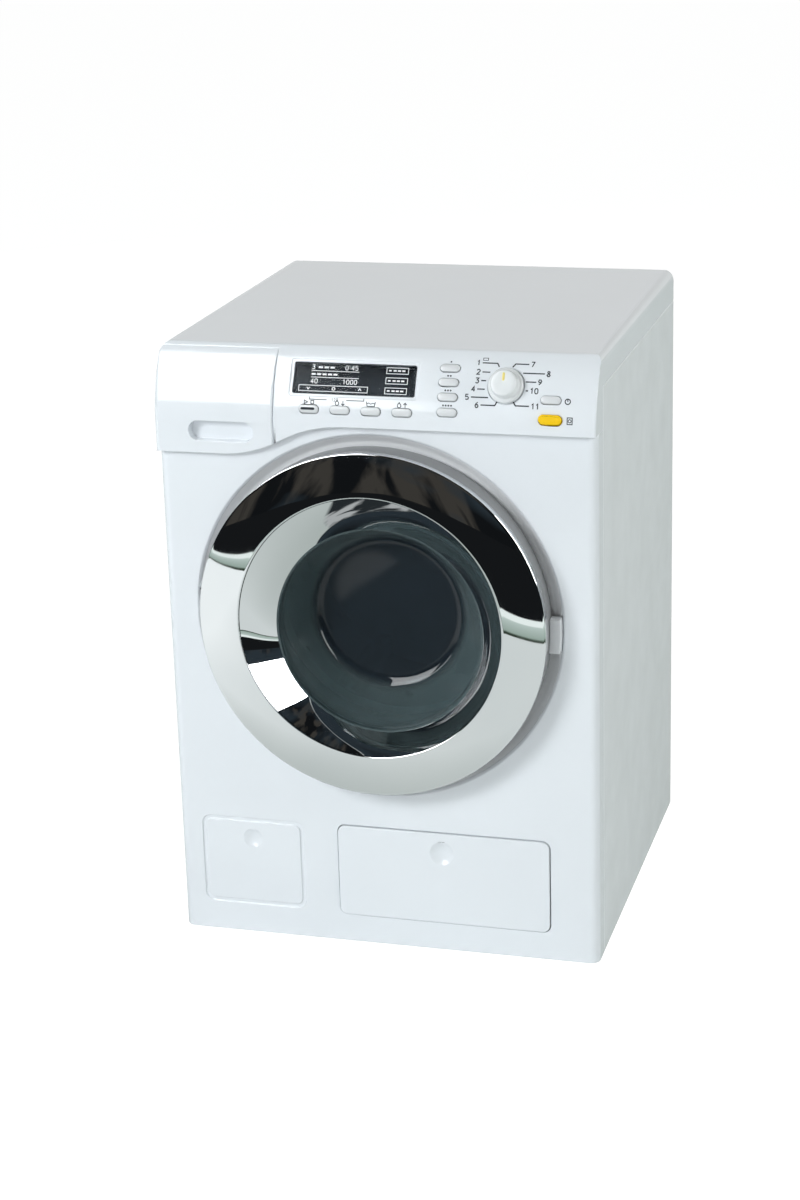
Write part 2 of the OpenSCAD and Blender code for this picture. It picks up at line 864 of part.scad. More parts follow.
// Round wire through a list of points, none of its stretches along side
module wire(points, r, side) {
    sides = 6;
    last = len(points) - 1;
    function ring(i) =
        let (way = points[min(i + 1, last)] - points[max(i - 1, 0)],
            a = cross(way, side),
            b = cross(way, a))
        [for (j = [0:sides - 1])
            points[i] + r * (a / norm(a) * cos(j * 360 / sides) + b / norm(b) * sin(j * 360 / sides))];
    skin = [for (i = [0:last]) each ring(i)];
    faces = concat(
        [[for (j = [sides - 1:-1:0]) j]],
        [[for (j = [0:sides - 1]) last * sides + j]],
        [for (i = [0:last - 1], j = [0:sides - 1])
            let (k = (j + 1) % sides)
            each [[i * sides + j, i * sides + k, (i + 1) * sides + j],
                [i * sides + k, (i + 1) * sides + k, (i + 1) * sides + j]]]);
    polyhedron(skin, faces);
}

module latch_spring() {
    coil_r = rod_r + 0.7;
    color("silver")
        translate([rod_x, rod_y, guide_z[0] + 2])
            wire([for (i = [0:56]) let (a = i * 360 / 14)
                [coil_r * cos(a), coil_r * sin(a), 0.3 + 9.4 * i / 56]], 0.3, [0, 0, 1]);
}

// ---------- tub, drum and drive ----------

tub_ri = drum_r + drum_gap;
tub_ro = tub_ri + tub_wall;
drum_front = tub_y + tub_wall + 2;
drum_back = drum_front + drum_depth;
tub_back = drum_back + 3 + tub_wall;
boss_len = 8;
bush_r = axle_r + 2;
level_a = tub_back + boss_len + 1.4;
level_b = level_a + gear_w + 1.2;
plate_d = level_b + gear_w + 2.6;
plate_t = 2.4;
idler_at = gear_module * (drum_teeth + idler_small_teeth) / 2;
motor_at = idler_at + gear_module * (idler_large_teeth + pinion_teeth) / 2;
drive_angle = -60;
post_r = 3.4;
post_a = [-10, 36];
post_b = [52, 24];
post_rim = 6.5;
posts = [[post_a[0], -post_a[1]], post_a, [post_b[0], -post_b[1]], post_b];
port_y = front_y + 60;
drain_x = 25;
spigot_r = 4.2;
spigot_bore = 3;
spigot_len = 5;
hose_wall = 1.2;
hose_grip = 13;
port_top = tub_ri - 1;
drain_end = tub_ro + spigot_len;

// Frame on the drum's axle, with X towards the idler and the motor
module on_drive() {
    on_door()
        rotate([0, 0, drive_angle])
            children();
}

module tub() {
    color("whitesmoke")
        difference() {
            union() {
                on_door() {
                    rotate_extrude($fn = 180)
                        polygon([
                            [mouth_r + 5, -tub_y], [tub_ro, -tub_y], [tub_ro, -tub_back],
                            [bush_r + 3, -tub_back], [bush_r + 3, -tub_back - boss_len],
                            [bush_r, -tub_back - boss_len], [bush_r, -tub_back + tub_wall],
                            [tub_ri, -tub_back + tub_wall], [tub_ri, -tub_y - tub_wall],
                            [mouth_r + 5, -tub_y - tub_wall]]);
                    difference() {
                        rotate([90, 0, 0])
                            translate([0, -port_y + front_y, 0]) {
                                translate([port_x, 0, -port_top])
                                    cylinder(r = spigot_r, h = port_top / 2, $fn = 48);
                                translate([drain_x, 0, drain_end / 2])
                                    cylinder(r = spigot_r, h = drain_end / 2, $fn = 48);
                            }
                        translate([0, 0, -tub_back])
                            cylinder(r = tub_ri + tub_wall / 2, h = tub_back - tub_y, $fn = 180);
                    }
                }
                on_drive() {
                    for (p = posts)
                        translate([p[0], p[1], -plate_d])
                            cylinder(r = post_r, h = plate_d - tub_back + eps, $fn = 48);
                    translate([idler_at, 0, -tub_back - boss_len + 1])
                        cylinder(r = 4, h = boss_len - 1 + eps, $fn = 48);
                }
            }
            on_door()
                rotate([90, 0, 0])
                    translate([0, -port_y + front_y, 0]) {
                        translate([port_x, 0, -port_top - 1])
                            cylinder(r = spigot_bore, h = port_top / 2 + 10, $fn = 48);
                        translate([drain_x, 0, drain_end / 2])
                            cylinder(r = spigot_bore, h = drain_end / 2 + 1, $fn = 48);
                    }
            on_drive() {
                translate([idler_at, 0, -tub_back - boss_len])
                    cylinder(r = idler_pin_r, h = boss_len - 1, $fn = 32);
                for (p = posts)
                    translate([p[0], p[1], -plate_d - 1])
                        cylinder(r = screw_r, h = 12, $fn = 32);
            }
        }
}

module tub_brackets() {
    arm_ys = [front_y + tub_y + 0.25 * drum_depth, front_y + tub_y + 0.8 * drum_depth];
    color("lightgray")
        for (s = [-1, 1])
            for (y = arm_ys)
                difference() {
                    span([s > 0 ? tub_ro - 6 : -body_w / 2 + wall, y, door_z - 6],
                        [s > 0 ? body_w / 2 - wall : -tub_ro + 6, y + 4, door_z + 6]);
                    on_door()
                        translate([0, 0, -body_d])
                            cylinder(r = tub_ro, h = body_d, $fn = 180);
                }
}

module drum() {
    pitch = (drum_depth - 16) / (hole_rows - 1);
    step = 360 / (lifters * (holes_between + 1));
    hub_r = 10;
    color("silver")
        on_door() {
            difference() {
                rotate_extrude($fn = 180)
                    polygon([
                        [mouth_r, -drum_front], [drum_r, -drum_front], [drum_r, -drum_back],
                        [axle_r + fit_gap, -drum_back], [axle_r + fit_gap, -drum_back + 6],
                        [hub_r, -drum_back + 6],
                        [hub_r + 4, -drum_back + drum_wall], [drum_r - drum_wall, -drum_back + drum_wall],
                        [drum_r - drum_wall, -drum_front - drum_wall], [mouth_r + 1, -drum_front - drum_wall],
                        [mouth_r + 1, -drum_front - 3], [mouth_r, -drum_front - 3]]);
                for (i = [0:lifters * (holes_between + 1) - 1])
                    if (i % (holes_between + 1) > 0)
                        for (row = [0:hole_rows - 1])
                            rotate([0, 0, i * step])
                                translate([drum_r - 5, 0, -drum_front - 8 - row * pitch])
                                    rotate([0, 90, 0])
                                        cylinder(r = hole_r, h = 10, $fn = 24);
            }
            // Lifters that carry the washing round
            for (i = [0:lifters - 1])
                rotate([0, 0, i * 360 / lifters])
                    translate([0, 0, -drum_back + drum_wall - eps])
                        linear_extrude(drum_depth - 2 * drum_wall + 2 * eps)
                            polygon([
                                [drum_r - drum_wall / 2, -6], [drum_r - lifter_h, -2.2],
                                [drum_r - lifter_h - 1, 0], [drum_r - lifter_h, 2.2],
                                [drum_r - drum_wall / 2, 6]]);
        }
}

module drum_axle() {
    color("silver")
        on_door() {
            translate([0, 0, -plate_d - plate_t - 0.4])
                cylinder(r = axle_r, h = plate_d + plate_t + 0.4 - drum_back + 6, $fn = 72);
            translate([0, 0, -drum_back + 6])
                cylinder(r = 7, h = 1.6);
        }
}

module axle_bushes() {
    module bush(w, len) {
        translate([0, 0, w])
            difference() {
                cylinder(r = bush_r, h = len, $fn = 72);
                translate([0, 0, -1])
                    cylinder(r = axle_r + run_gap, h = len + 2, $fn = 72);
            }
    }
    color("goldenrod")
        on_door() {
            bush(-tub_back - boss_len, boss_len + tub_wall);
            bush(-plate_d - plate_t, plate_t);
        }
}

// Involute spur gear outline with its first tooth on the X axis
module gear_outline(teeth) {
    pressure = 25;
    backlash = 0.12;
    pitch_r = gear_module * teeth / 2;
    base_r = pitch_r * cos(pressure);
    tip_r = pitch_r + 0.8 * gear_module;
    root_r = pitch_r - 1.15 * gear_module;
    function roll(r) = sqrt(max(0, pow(r / base_r, 2) - 1)) * 180 / PI;
    function invol(r) = roll(r) - atan(roll(r) * PI / 180);
    half = 90 / teeth - backlash / 2 / pitch_r * 180 / PI;
    function flank(r) = half + invol(pitch_r) - invol(r);
    radii = [root_r, max(base_r, root_r) + 0.05, (base_r + pitch_r) / 2 + 0.05,
        pitch_r + 0.1, tip_r - 0.3, tip_r];
    function at(r, a) = [r * cos(a), r * sin(a)];
    polygon([for (t = [0:teeth - 1])
        each concat(
            [for (r = radii) at(r, t * 360 / teeth - flank(max(r, base_r)))],
            [for (i = [len(radii) - 1:-1:0])
                at(radii[i], t * 360 / teeth + flank(max(radii[i], base_r)))])]);
}

module drum_gear() {
    color("ivory")
        on_drive()
            difference() {
                union() {
                    translate([0, 0, -level_a - gear_w])
                        linear_extrude(gear_w)
                            gear_outline(drum_teeth);
                    translate([0, 0, -level_a - gear_w - 3])
                        cylinder(r = 7, h = 4);
                }
                translate([0, 0, -level_a - gear_w - 5])
                    cylinder(r = axle_r + fit_gap, h = gear_w + 10, $fn = 72);
                for (i = [0:5])
                    rotate([0, 0, 30 + 60 * i])
                        translate([17, 0, -level_a - gear_w - 1])
                            cylinder(r = 5, h = gear_w + 2, $fn = 48);
            }
}

module idler_gear() {
    color("ivory")
        on_drive()
            translate([idler_at, 0, 0])
                difference() {
                    union() {
                        translate([0, 0, -level_b])
                            linear_extrude(level_b - level_a + 0.3)
                                rotate(180 + 180 / idler_small_teeth)
                                    gear_outline(idler_small_teeth);
                        translate([0, 0, -level_b - gear_w])
                            linear_extrude(gear_w)
                                gear_outline(idler_large_teeth);
                    }
                    translate([0, 0, -plate_d])
                        cylinder(r = idler_pin_r + run_gap, h = plate_d, $fn = 48);
                }
}

module idler_pin() {
    color("silver")
        on_drive()
            translate([idler_at, 0, -plate_d - plate_t])
                cylinder(r = idler_pin_r, h = plate_d + plate_t - tub_back - 2, $fn = 32);
}

module gear_plate() {
    color("lightgray")
        on_drive()
            difference() {
                translate([0, 0, -plate_d - plate_t])
                    linear_extrude(plate_t)
                        polygon([
                            [post_a[0] - post_rim, -post_a[1] - post_rim],
                            [post_b[0] + post_rim - 2, -post_b[1] - post_rim],
                            [motor_at + motor_r + 2, -motor_r - 2],
                            [motor_at + motor_r + 2, motor_r + 2],
                            [post_b[0] + post_rim - 2, post_b[1] + post_rim],
                            [post_a[0] - post_rim, post_a[1] + post_rim]]);
                translate([0, 0, -plate_d - plate_t - 1])
                    cylinder(r = bush_r, h = plate_t + 2, $fn = 72);
                translate([idler_at, 0, -plate_d - plate_t - 1])
                    cylinder(r = idler_pin_r, h = plate_t + 2, $fn = 32);
                translate([motor_at, 0, -plate_d - plate_t - 1])
                    cylinder(r = 3.4, h = plate_t + 2, $fn = 48);
                for (p = posts)
                    translate([p[0], p[1], -plate_d - plate_t - 1])
                        cylinder(r = screw_r + 0.2, h = plate_t + 2, $fn = 32);
            }
}

module gear_plate_screws() {
    color("silver")
        on_drive()
            for (p = posts)
                translate([p[0], p[1], -plate_d - plate_t]) {
                    translate([0, 0, -head_h])
                        cylinder(r = head_r, h = head_h);
                    cylinder(r = screw_r, h = 9, $fn = 32);
                }
}

module motor() {
    color("silver")
        on_drive()
            translate([motor_at, 0, -plate_d - plate_t])
                difference() {
                    union() {
                        translate([0, 0, -motor_len])
                            intersection() {
                                cylinder(r = motor_r, h = motor_len);
                                translate([-motor_r, -motor_flat / 2, 0])
                                    cube([2 * motor_r, motor_flat, motor_len]);
                            }
                        cylinder(r = 3.2, h = 1.4);
                        translate([0, 0, -motor_len - 1.6])
                            cylinder(r = 4, h = 2);
                    }
                    translate([0, 0, -motor_len + 4])
                        cylinder(r = motor_shaft_r + run_gap, h = motor_len, $fn = 32);
                }
}

module motor_pinion() {
    color("goldenrod")
        on_drive()
            translate([motor_at, 0, 0]) {
                translate([0, 0, -level_b - gear_w])
                    linear_extrude(gear_w)
                        rotate(180 + 180 / pinion_teeth)
                            gear_outline(pinion_teeth);
                translate([0, 0, -plate_d - plate_t - 12])
                    cylinder(r = motor_shaft_r, h = plate_d + plate_t + 12 - level_b - gear_w + eps, $fn = 32);
            }
}

// ---------- keys and board ----------

stem_r = 1.3;
stem_end = pcb_w + pcb_t + pad_t + dome_h + 0.2;

// Sprung key whose top follows the fascia's curve
module press_key(x, v, len, wid) {
    lean = asin(v / fascia_r);
    flange_t = 1;
    flange_w = face_w(v) - wall - (wid / 2 + 0.8) * abs(tan(lean)) - 0.5;
    on_controls()
        translate([x, 0, 0]) {
            intersection() {
                translate([0, v, flange_w - flange_t])
                    oblong(len, wid, 12);
                translate([0, 0, -fascia_r])
                    rotate([0, 90, 0])
                        cylinder(r = fascia_r + key_proud, h = 2 * len, center = true, $fn = 180);
            }
            translate([0, v, flange_w - flange_t])
                oblong(len + 1.5, wid + 1.5, flange_t);
            translate([0, v, stem_end])
                cylinder(r = stem_r, h = flange_w - stem_end, $fn = 32);
        }
}

module row_key(i) {
    color("white")
        press_key(row_x + i * row_pitch, row_v, key_len, key_h);
}

module column_key(i) {
    color("white")
        press_key(column_x, column_v[i], key_len, key_h);
}

module start_key() {
    row_key(-2);
}

module water_in_key() {
    row_key(-1);
}

module wash_key() {
    row_key(0);
}

module water_out_key() {
    row_key(1);
}

module option_key_1() {
    column_key(0);
}

module option_key_2() {
    column_key(1);
}

module option_key_3() {
    column_key(2);
}

module spin_key() {
    column_key(3);
}

module power_key() {
    color("white")
        press_key(power_x, power_v, key_len, key_h);
}

// Door key with a leg that presses the latch rod down
module door_key() {
    lean = asin(door_key_v / fascia_r);
    flange_w = face_w(door_key_v) - wall - (door_key_h / 2 + 0.8) * abs(tan(lean)) - 0.5;
    color("gold")
        on_controls()
            translate([rod_x, 0, 0]) {
                intersection() {
                    translate([0, door_key_v, flange_w - 1])
                        oblong(door_key_len, door_key_h, 12);
                    translate([0, 0, -fascia_r])
                        rotate([0, 90, 0])
                            cylinder(r = fascia_r + key_proud + 0.3, h = 30, center = true, $fn = 180);
                }
                translate([0, door_key_v, flange_w - 1])
                    oblong(door_key_len + 1.5, door_key_h + 1.5, 1);
                translate([-leg_half, leg_v, leg_w])
                    cube([2 * leg_half, 2 * leg_half, flange_w - leg_w - 0.5]);
            }
}

module key_pad() {
    // Pad under one key, with its dome
    module dome(x, v) {
        translate([x, v, pad_t])
            cylinder(r1 = 2.2, r2 = 1.4, h = dome_h, $fn = 32);
    }
    color("silver")
        on_controls()
            translate([0, 0, pcb_w + pcb_t]) {
                span([row_x - 2 * row_pitch - 5, row_v - 2.6, 0], [column_x + 4, row_v + 2.6, pad_t]);
                span([column_x - 4, row_v, 0], [column_x + 4, column_v[0] + 3, pad_t]);
                span([power_x - 4, power_v - 2.6, 0], [power_x + 4, power_v + 2.6, pad_t]);
                for (p = key_places)
                    dome(p[0], p[1]);
            }
}

module circuit_board() {
    left = row_x - 2.5 * row_pitch - 8.4;
    right = knob_x + knob_r + 4.3;
    low = row_v - key_h / 2 - 2.2;
    top = column_v[0] + key_h + 0.8;
    color("darkgreen")
        on_controls()
            translate([0, 0, pcb_w]) {
                span([left, low, 0], [right, top, pcb_t]);
                span([right - 1, power_v - 3.5, 0], [power_x + key_len / 2 + 2, top, pcb_t]);
                // Components on the back
                span([-20, -6, -2], [-8, 6, eps]);
                span([4, -5, -1.6], [12, 5, eps]);
                for (i = [0:2])
                    translate([44 + 8 * i, -4, -6])
                        cylinder(r = 2.6, h = 6 + eps, $fn = 32);
            }
}

module rotary_switch() {
    half = 5.4;
    color("dimgray")
        on_controls()
            difference() {
                span([knob_x - half, knob_v - half, pcb_w + pcb_t],
                    [knob_x + half, knob_v + half, pcb_w + pcb_t + 7]);
                translate([knob_x, knob_v, pcb_w + pcb_t + 1])
                    cylinder(r = shaft_r + run_gap, h = 10, $fn = 48);
            }
}

knob_base_w = face_w(knob_r + abs(knob_v));

module knob_shaft() {
    color("silver")
        on_controls()
            translate([knob_x, knob_v, pcb_w + pcb_t + 1.4])
                cylinder(r = shaft_r, h = knob_base_w + 4 - pcb_w - pcb_t - 1.4, $fn = 48);
}

module program_knob() {
    color("white")
        on_controls()
            translate([knob_x, knob_v, knob_base_w])
                rotate_extrude($fn = 120)
                    polygon([
                        [shaft_r, 0], [knob_r - 0.3, 0], [knob_r, 0.3], [knob_r, 1.6],
                        [knob_r - 0.5, 2.4], [knob_r - 1.2, 2.9], [knob_cap_r + 0.3, knob_h - 1],
                        [knob_cap_r, knob_h - 0.4], [knob_cap_r - 0.6, knob_h], [0, knob_h],
                        [0, 4], [shaft_r, 4]]);
}

module knob_mark() {
    color("gold")
        on_controls()
            translate([knob_x, knob_v + knob_cap_r - 2.6, knob_base_w + knob_h])
                rotate([0, 0, 90])
                    oblong(3.2, 1, 0.3);
}

module display_window() {
    color([0.2, 0.22, 0.24, 0.6])
        on_display()
            translate([0, 0, -window_sink - window_t])
                linear_extrude(window_t)
                    round_rect(display_w - 0.2, display_h - 0.2, 0.7);
}

module display_card() {
    color("black")
        on_display()
            translate([0, 0, -window_sink - window_t - card_t])
                linear_extrude(card_t)
                    round_rect(display_w - 0.4, display_h - 0.4, 0.6);
}

// ---------- detergent drawer and water ----------

housing_x0 = -body_w / 2 + wall + seam_gap;
housing_x1 = drawer_edge_x - 1.2;
housing_z = left_z + 2;
cups_x0 = housing_x0 + drawer_wall + slide_gap;
cups_x1 = housing_x1 - drawer_wall - slide_gap;
cups_z = housing_z + drawer_wall + slide_gap;
cups_h = 23;
port_x = cups_x1 - drawer_wall - spigot_r;
cups_y = front_y - fascia_proud + grip_depth + 1.4;
grip_x = (drawer_edge_x - body_w / 2) / 2 + 3;
grip_z = left_z + 9.4;

module drawer_front() {
    lip = 1.4;
    // Finger recess: an oblong dish with a round lower edge
    module grip(grow, depth) {
        translate([grip_x, front_y - fascia_proud + depth, grip_z])
            rotate([90, 0, 0])
                oblong(grip_w + 2 * grow, grip_h + 2 * grow, depth + 1);
    }
    color("white") {
        difference() {
            union() {
                difference() {
                    hood_form(0);
                    hood_form(wall);
                    span([drawer_edge_x - seam_gap, front_y - 20, 0], [body_w, back_y + 1, body_h + 1]);
                    span([-body_w, drawer_seam_y - seam_gap, 0], [body_w, back_y + 1, body_h + 1]);
                    span([-body_w, front_y - 20, 0], [body_w, back_y + 1, left_z]);
                    difference() {
                        span([-body_w, front_y - 10, 0], [body_w, front_y + front_wrap, body_h]);
                        above_edge(front_y - 20, back_y, 0);
                    }
                }
                intersection() {
                    grip(lip, grip_depth + lip);
                    hood_form(wall / 2);
                }
            }
            grip(0, grip_depth);
        }
    }
}

module drawer_cups() {
    wall_x = cups_x0 + (cups_x1 - cups_x0) * 0.42;
    color("whitesmoke")
        difference() {
            span([cups_x0, cups_y, cups_z], [cups_x1, cups_y + drawer_len, cups_z + cups_h]);
            span([cups_x0 + drawer_wall, cups_y + drawer_wall, cups_z + drawer_wall],
                [wall_x, cups_y + drawer_len - drawer_wall, cups_z + cups_h + 1]);
            span([wall_x + drawer_wall, cups_y + drawer_wall, cups_z + drawer_wall],
                [cups_x1 - drawer_wall, cups_y + drawer_len - drawer_wall, cups_z + cups_h + 1]);
            translate([port_x, port_y, cups_z - 1])
                cylinder(r = spigot_bore, h = 5, $fn = 48);
        }
}

module drawer_housing() {
    y0 = front_y + 10;
    y1 = cups_y + drawer_len + 2;
    color("lightgray")
        difference() {
            union() {
                span([housing_x0, y0, housing_z], [housing_x1, y1, housing_z + cups_h + 5]);
                translate([port_x, port_y, housing_z - spigot_len])
                    cylinder(r = spigot_r, h = spigot_len + eps, $fn = 48);
            }
            span([housing_x0 + drawer_wall, y0 - 1, housing_z + drawer_wall],
                [housing_x1 - drawer_wall, y1 - drawer_wall, housing_z + cups_h + 10]);
            translate([port_x, port_y, housing_z - 6])
                cylinder(r = spigot_bore, h = 20, $fn = 48);
        }
}

// Soft hose, upright, over two spigots
module hose(x, z0, z1) {
    color("gray")
        translate([x, port_y, z0])
            difference() {
                cylinder(r = spigot_r + 0.05 + hose_wall, h = z1 - z0, $fn = 64);
                translate([0, 0, -1])
                    cylinder(r = spigot_r + 0.05, h = z1 - z0 + 2, $fn = 64);
            }
}

module inlet_hose() {
    hose(port_x, door_z + port_top - hose_grip, housing_z - 0.4);
}

module drain_hose() {
    hose(drain_x, tray_z + tray_h + 4, door_z - drain_end + 7);
}

tray_half = tray_w / 2 - 4;
tray_floor = tray_z + 3;
tray_top = tray_z + tray_h - 5;
tray_back = 3;

module water_tray() {
    proud = 0.8;
    color("white")
        difference() {
            union() {
                translate([tray_x, front_y + tray_back, tray_z + tray_h / 2])
                    rotate([90, 0, 0])
                        linear_extrude(proud + tray_back)
                            round_rect(tray_w, tray_h, tray_r);
                difference() {
                    span([tray_x - tray_half, front_y + tray_back - eps, tray_floor],
                        [tray_x + tray_half, front_y + tray_len, tray_top]);
                    span([tray_x - tray_half + tray_wall, front_y + tray_back + 1, tray_floor + tray_wall],
                        [tray_x + tray_half - tray_wall, front_y + tray_len - tray_wall, tray_top + 1]);
                }
            }
            dimple([tray_x - 0.3, front_y - proud, tray_z + tray_h - 9], 5.2, 1.7);
        }
}

module tray_guide() {
    x0 = tray_x - tray_half - slide_gap;
    x1 = tray_x + tray_half + slide_gap;
    y0 = front_y + tray_back + 0.3;
    y1 = front_y + tray_len + 4;
    z1 = tray_floor - slide_gap;
    color("lightgray") {
        difference() {
            span([x0 - tray_wall, y0, wall], [x1 + tray_wall, y1, tray_floor + 14]);
            span([x0, y0 - 1, z1], [x1, y1 - tray_wall, body_h]);
            span([x0, y0 - 1, 0], [x1, y1 + 1, z1 - tray_wall]);
        }
        for (x = [tray_x - 16, tray_x + 16])
            span([x - 1, y0, wall], [x + 1, y1, z1 - tray_wall + eps]);
    }
}

// ---------- batteries ----------

box_wall = 1.6;
box_depth = 2 * cell_r + 1.2;
cell_y = back_y - wall - 0.4 - cell_r;

module battery_box() {
    y0 = back_y - wall - box_depth;
    color("lightgray")
        difference() {
            span([-battery_w / 2 - box_wall, y0 - box_wall, battery_z - box_wall],
                [battery_w / 2 + box_wall, back_y - wall, battery_z + battery_h + box_wall]);
            span([-battery_w / 2, y0, battery_z], [battery_w / 2, back_y, battery_z + battery_h]);
            on_cup()
                translate([0, 0, -9 - seam_gap])
                    cylinder(r = cup_r + cup_wall + seam_gap, h = 20);
        }
}

module batteries() {
    color("orange")
        for (i = [0:cells - 1])
            translate([(i - (cells - 1) / 2) * cell_pitch, cell_y, battery_z + contact_room])
                cylinder(r = cell_r, h = cell_len);
}

module battery_contacts() {
    color("silver")
        for (i = [0:cells - 1])
            for (z = [battery_z, battery_z + battery_h - 0.5])
                translate([(i - (cells - 1) / 2) * cell_pitch, cell_y, z]) {
                    translate([-5, -5, 0])
                        cube([10, 10, 0.5]);
                    translate([0, 0, z > battery_z ? 0.5 - contact_room : 0])
                        cylinder(r = 2.4, h = contact_room, $fn = 32);
                }
}

module battery_cover() {
    lip = cover_lip - seam_gap;
    color("gainsboro") {
        difference() {
            union() {
                span([-battery_w / 2 - lip, back_y - cover_t, battery_z - lip],
                    [battery_w / 2 + lip, back_y, battery_z + battery_h + lip]);
                on_cup()
                    translate([0, 0, seam_gap])
                        cylinder(r = cup_r, h = cup_d);
            }
            on_cup() {
                translate([0, 0, -1])
                    cylinder(r = screw_r + 0.2, h = 10, $fn = 32);
                translate([0, 0, 1.6])
                    cylinder(r = head_r + 0.2, h = 10);
            }
        }
    }
}

module battery_screw() {
    color("silver")
        on_cup() {
            translate([0, 0, 1.6])
                cylinder(r = head_r, h = head_h);
            translate([0, 0, -6])
                cylinder(r = screw_r, h = 8, $fn = 32);
        }
}

module speaker() {
    color("dimgray")
        translate([speaker_x, back_y - wall, speaker_z])
            rotate([90, 0, 0]) {
                cylinder(r = speaker_r, h = 2);
                translate([0, 0, 2 - eps])
                    cylinder(r1 = speaker_r - 2, r2 = speaker_r / 2, h = 5 + 2 * eps);
                translate([0, 0, 7])
                    cylinder(r = speaker_r / 2 + 0.5, h = speaker_h - 7);
            }
}

body_shell();
front_panel();
top_cover();
base_plate();
housing_screws();
door_surround();
door_seal();
hinge_pin();
door_frame();
door_ring();
door_funnel();
door_glass();
door_tab();
latch_rod();
latch_spring();
tub();
tub_brackets();
drum();
drum_axle();
axle_bushes();
drum_gear();
idler_gear();
idler_pin();
gear_plate();
gear_plate_screws();
motor();
motor_pinion();
start_key();
water_in_key();
wash_key();
water_out_key();
option_key_1();
option_key_2();
option_key_3();
spin_key();
power_key();
door_key();
key_pad();
circuit_board();
rotary_switch();
knob_shaft();
program_knob();
knob_mark();
display_window();
display_card();
drawer_front();
drawer_cups();
drawer_housing();
inlet_hose();
drain_hose();
water_tray();
tray_guide();
battery_box();
batteries();
battery_contacts();
battery_cover();
battery_screw();
speaker();
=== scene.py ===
import json
import math

import bmesh
import bpy
from mathutils import Matrix, Vector


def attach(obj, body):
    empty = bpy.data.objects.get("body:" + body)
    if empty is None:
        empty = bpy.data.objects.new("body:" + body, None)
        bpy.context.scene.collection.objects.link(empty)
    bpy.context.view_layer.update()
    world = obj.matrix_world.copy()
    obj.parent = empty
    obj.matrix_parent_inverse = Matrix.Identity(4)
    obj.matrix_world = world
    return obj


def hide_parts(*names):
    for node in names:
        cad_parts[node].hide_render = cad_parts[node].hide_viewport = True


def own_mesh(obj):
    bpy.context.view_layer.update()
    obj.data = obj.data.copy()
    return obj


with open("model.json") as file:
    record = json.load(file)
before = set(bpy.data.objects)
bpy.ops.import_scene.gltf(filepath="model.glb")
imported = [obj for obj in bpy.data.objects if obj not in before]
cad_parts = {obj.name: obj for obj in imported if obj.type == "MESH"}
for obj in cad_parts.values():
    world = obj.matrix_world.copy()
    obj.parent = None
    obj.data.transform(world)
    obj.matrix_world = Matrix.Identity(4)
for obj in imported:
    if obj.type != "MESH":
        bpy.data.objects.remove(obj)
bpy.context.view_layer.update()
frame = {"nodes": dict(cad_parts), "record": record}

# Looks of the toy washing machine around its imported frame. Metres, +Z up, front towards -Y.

MM = 0.001
nodes = frame["nodes"]
scene = bpy.context.scene

# Sizes shared with the frame, in millimetres: _R is a radius, _W a distance outward from the
# front panel's face and _V a height up the control slope
FRONT_Y = -91.0
BODY_W = 185.0
BODY_H = 261.0
DOOR_Z = 148.5
DOOR_R = 73.8
STEP_R = 56.1
RIM_W = 12.0
STEP_W = 14.9
GLASS_R = 45.0
GLASS_DROP = 4.6
GLASS_X = 1.0
GLASS_W = 2.8
FLANGE_W = -0.6
BOWL_R = 32.5
BOWL_DROP = 2.2
BOWL_DEPTH = 20.0
GLASS_WALL = 1.4
FASCIA_R = 41.0
CURVE_Y = FRONT_Y + 37.8
CURVE_Z = 230.0
TILT = math.radians(27)
KEY_PROUD = 1.0


# ---------- shared helpers ----------

def control_point(x, v, lift=0.0):
    """Point over the curved fascia: x across, v up the slope, lift outward."""
    w = math.sqrt(FASCIA_R ** 2 - v ** 2) - FASCIA_R + lift
    return control_frame(x, v, w)


def control_frame(x, v, w):
    """Point of the flat control frame: x across, v up the slope, w outward."""
    y = CURVE_Y - FASCIA_R * math.cos(TILT) + v * math.sin(TILT) - w * math.cos(TILT)
    z = CURVE_Z + FASCIA_R * math.sin(TILT) + v * math.cos(TILT) + w * math.sin(TILT)
    return Vector((x, y, z)) * MM


def door_point(x, y, w):
    """Point of the door's frame: x across, y up, w outward from the front panel's face."""
    return Vector((x, FRONT_Y - w, DOOR_Z + y)) * MM


def add_mesh(name, verts, faces, material, body, replaces=(), sharp=35):
    """Piece made from vertices and faces, welded and with its normals outward."""
    mesh = bpy.data.meshes.new(name)
    mesh.from_pydata([tuple(v) for v in verts], [], faces)
    bm = bmesh.new()
    bm.from_mesh(mesh)
    bmesh.ops.remove_doubles(bm, verts=bm.verts, dist=1e-7)
    bmesh.ops.recalc_face_normals(bm, faces=bm.faces)
    bm.to_mesh(mesh)
    bm.free()
    return add_piece(name, mesh, material, body, replaces, sharp)


def add_piece(name, mesh, material, body, replaces=(), sharp=35):
    """Piece made from a mesh, riding on its body; edges over sharp degrees stay hard."""
    mesh.materials.clear()
    mesh.materials.append(material)
    mesh.shade_smooth()
    mesh.set_sharp_from_angle(angle=math.radians(sharp))
    piece = bpy.data.objects.new(name, mesh)
    scene.collection.objects.link(piece)
    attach(piece, body)
    if replaces:
        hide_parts(*replaces)
    return piece


def ring_faces(rings, count, closed=True):
    """Quads between rings of count points; closed joins the last ring to the first."""
    faces = []
    total = rings if closed else rings - 1
    for i in range(total):
        a, b = i * count, ((i + 1) % rings) * count
        for j in range(count):
            k = (j + 1) % count
            faces.append((a + j, a + k, b + k, b + j))
    return faces


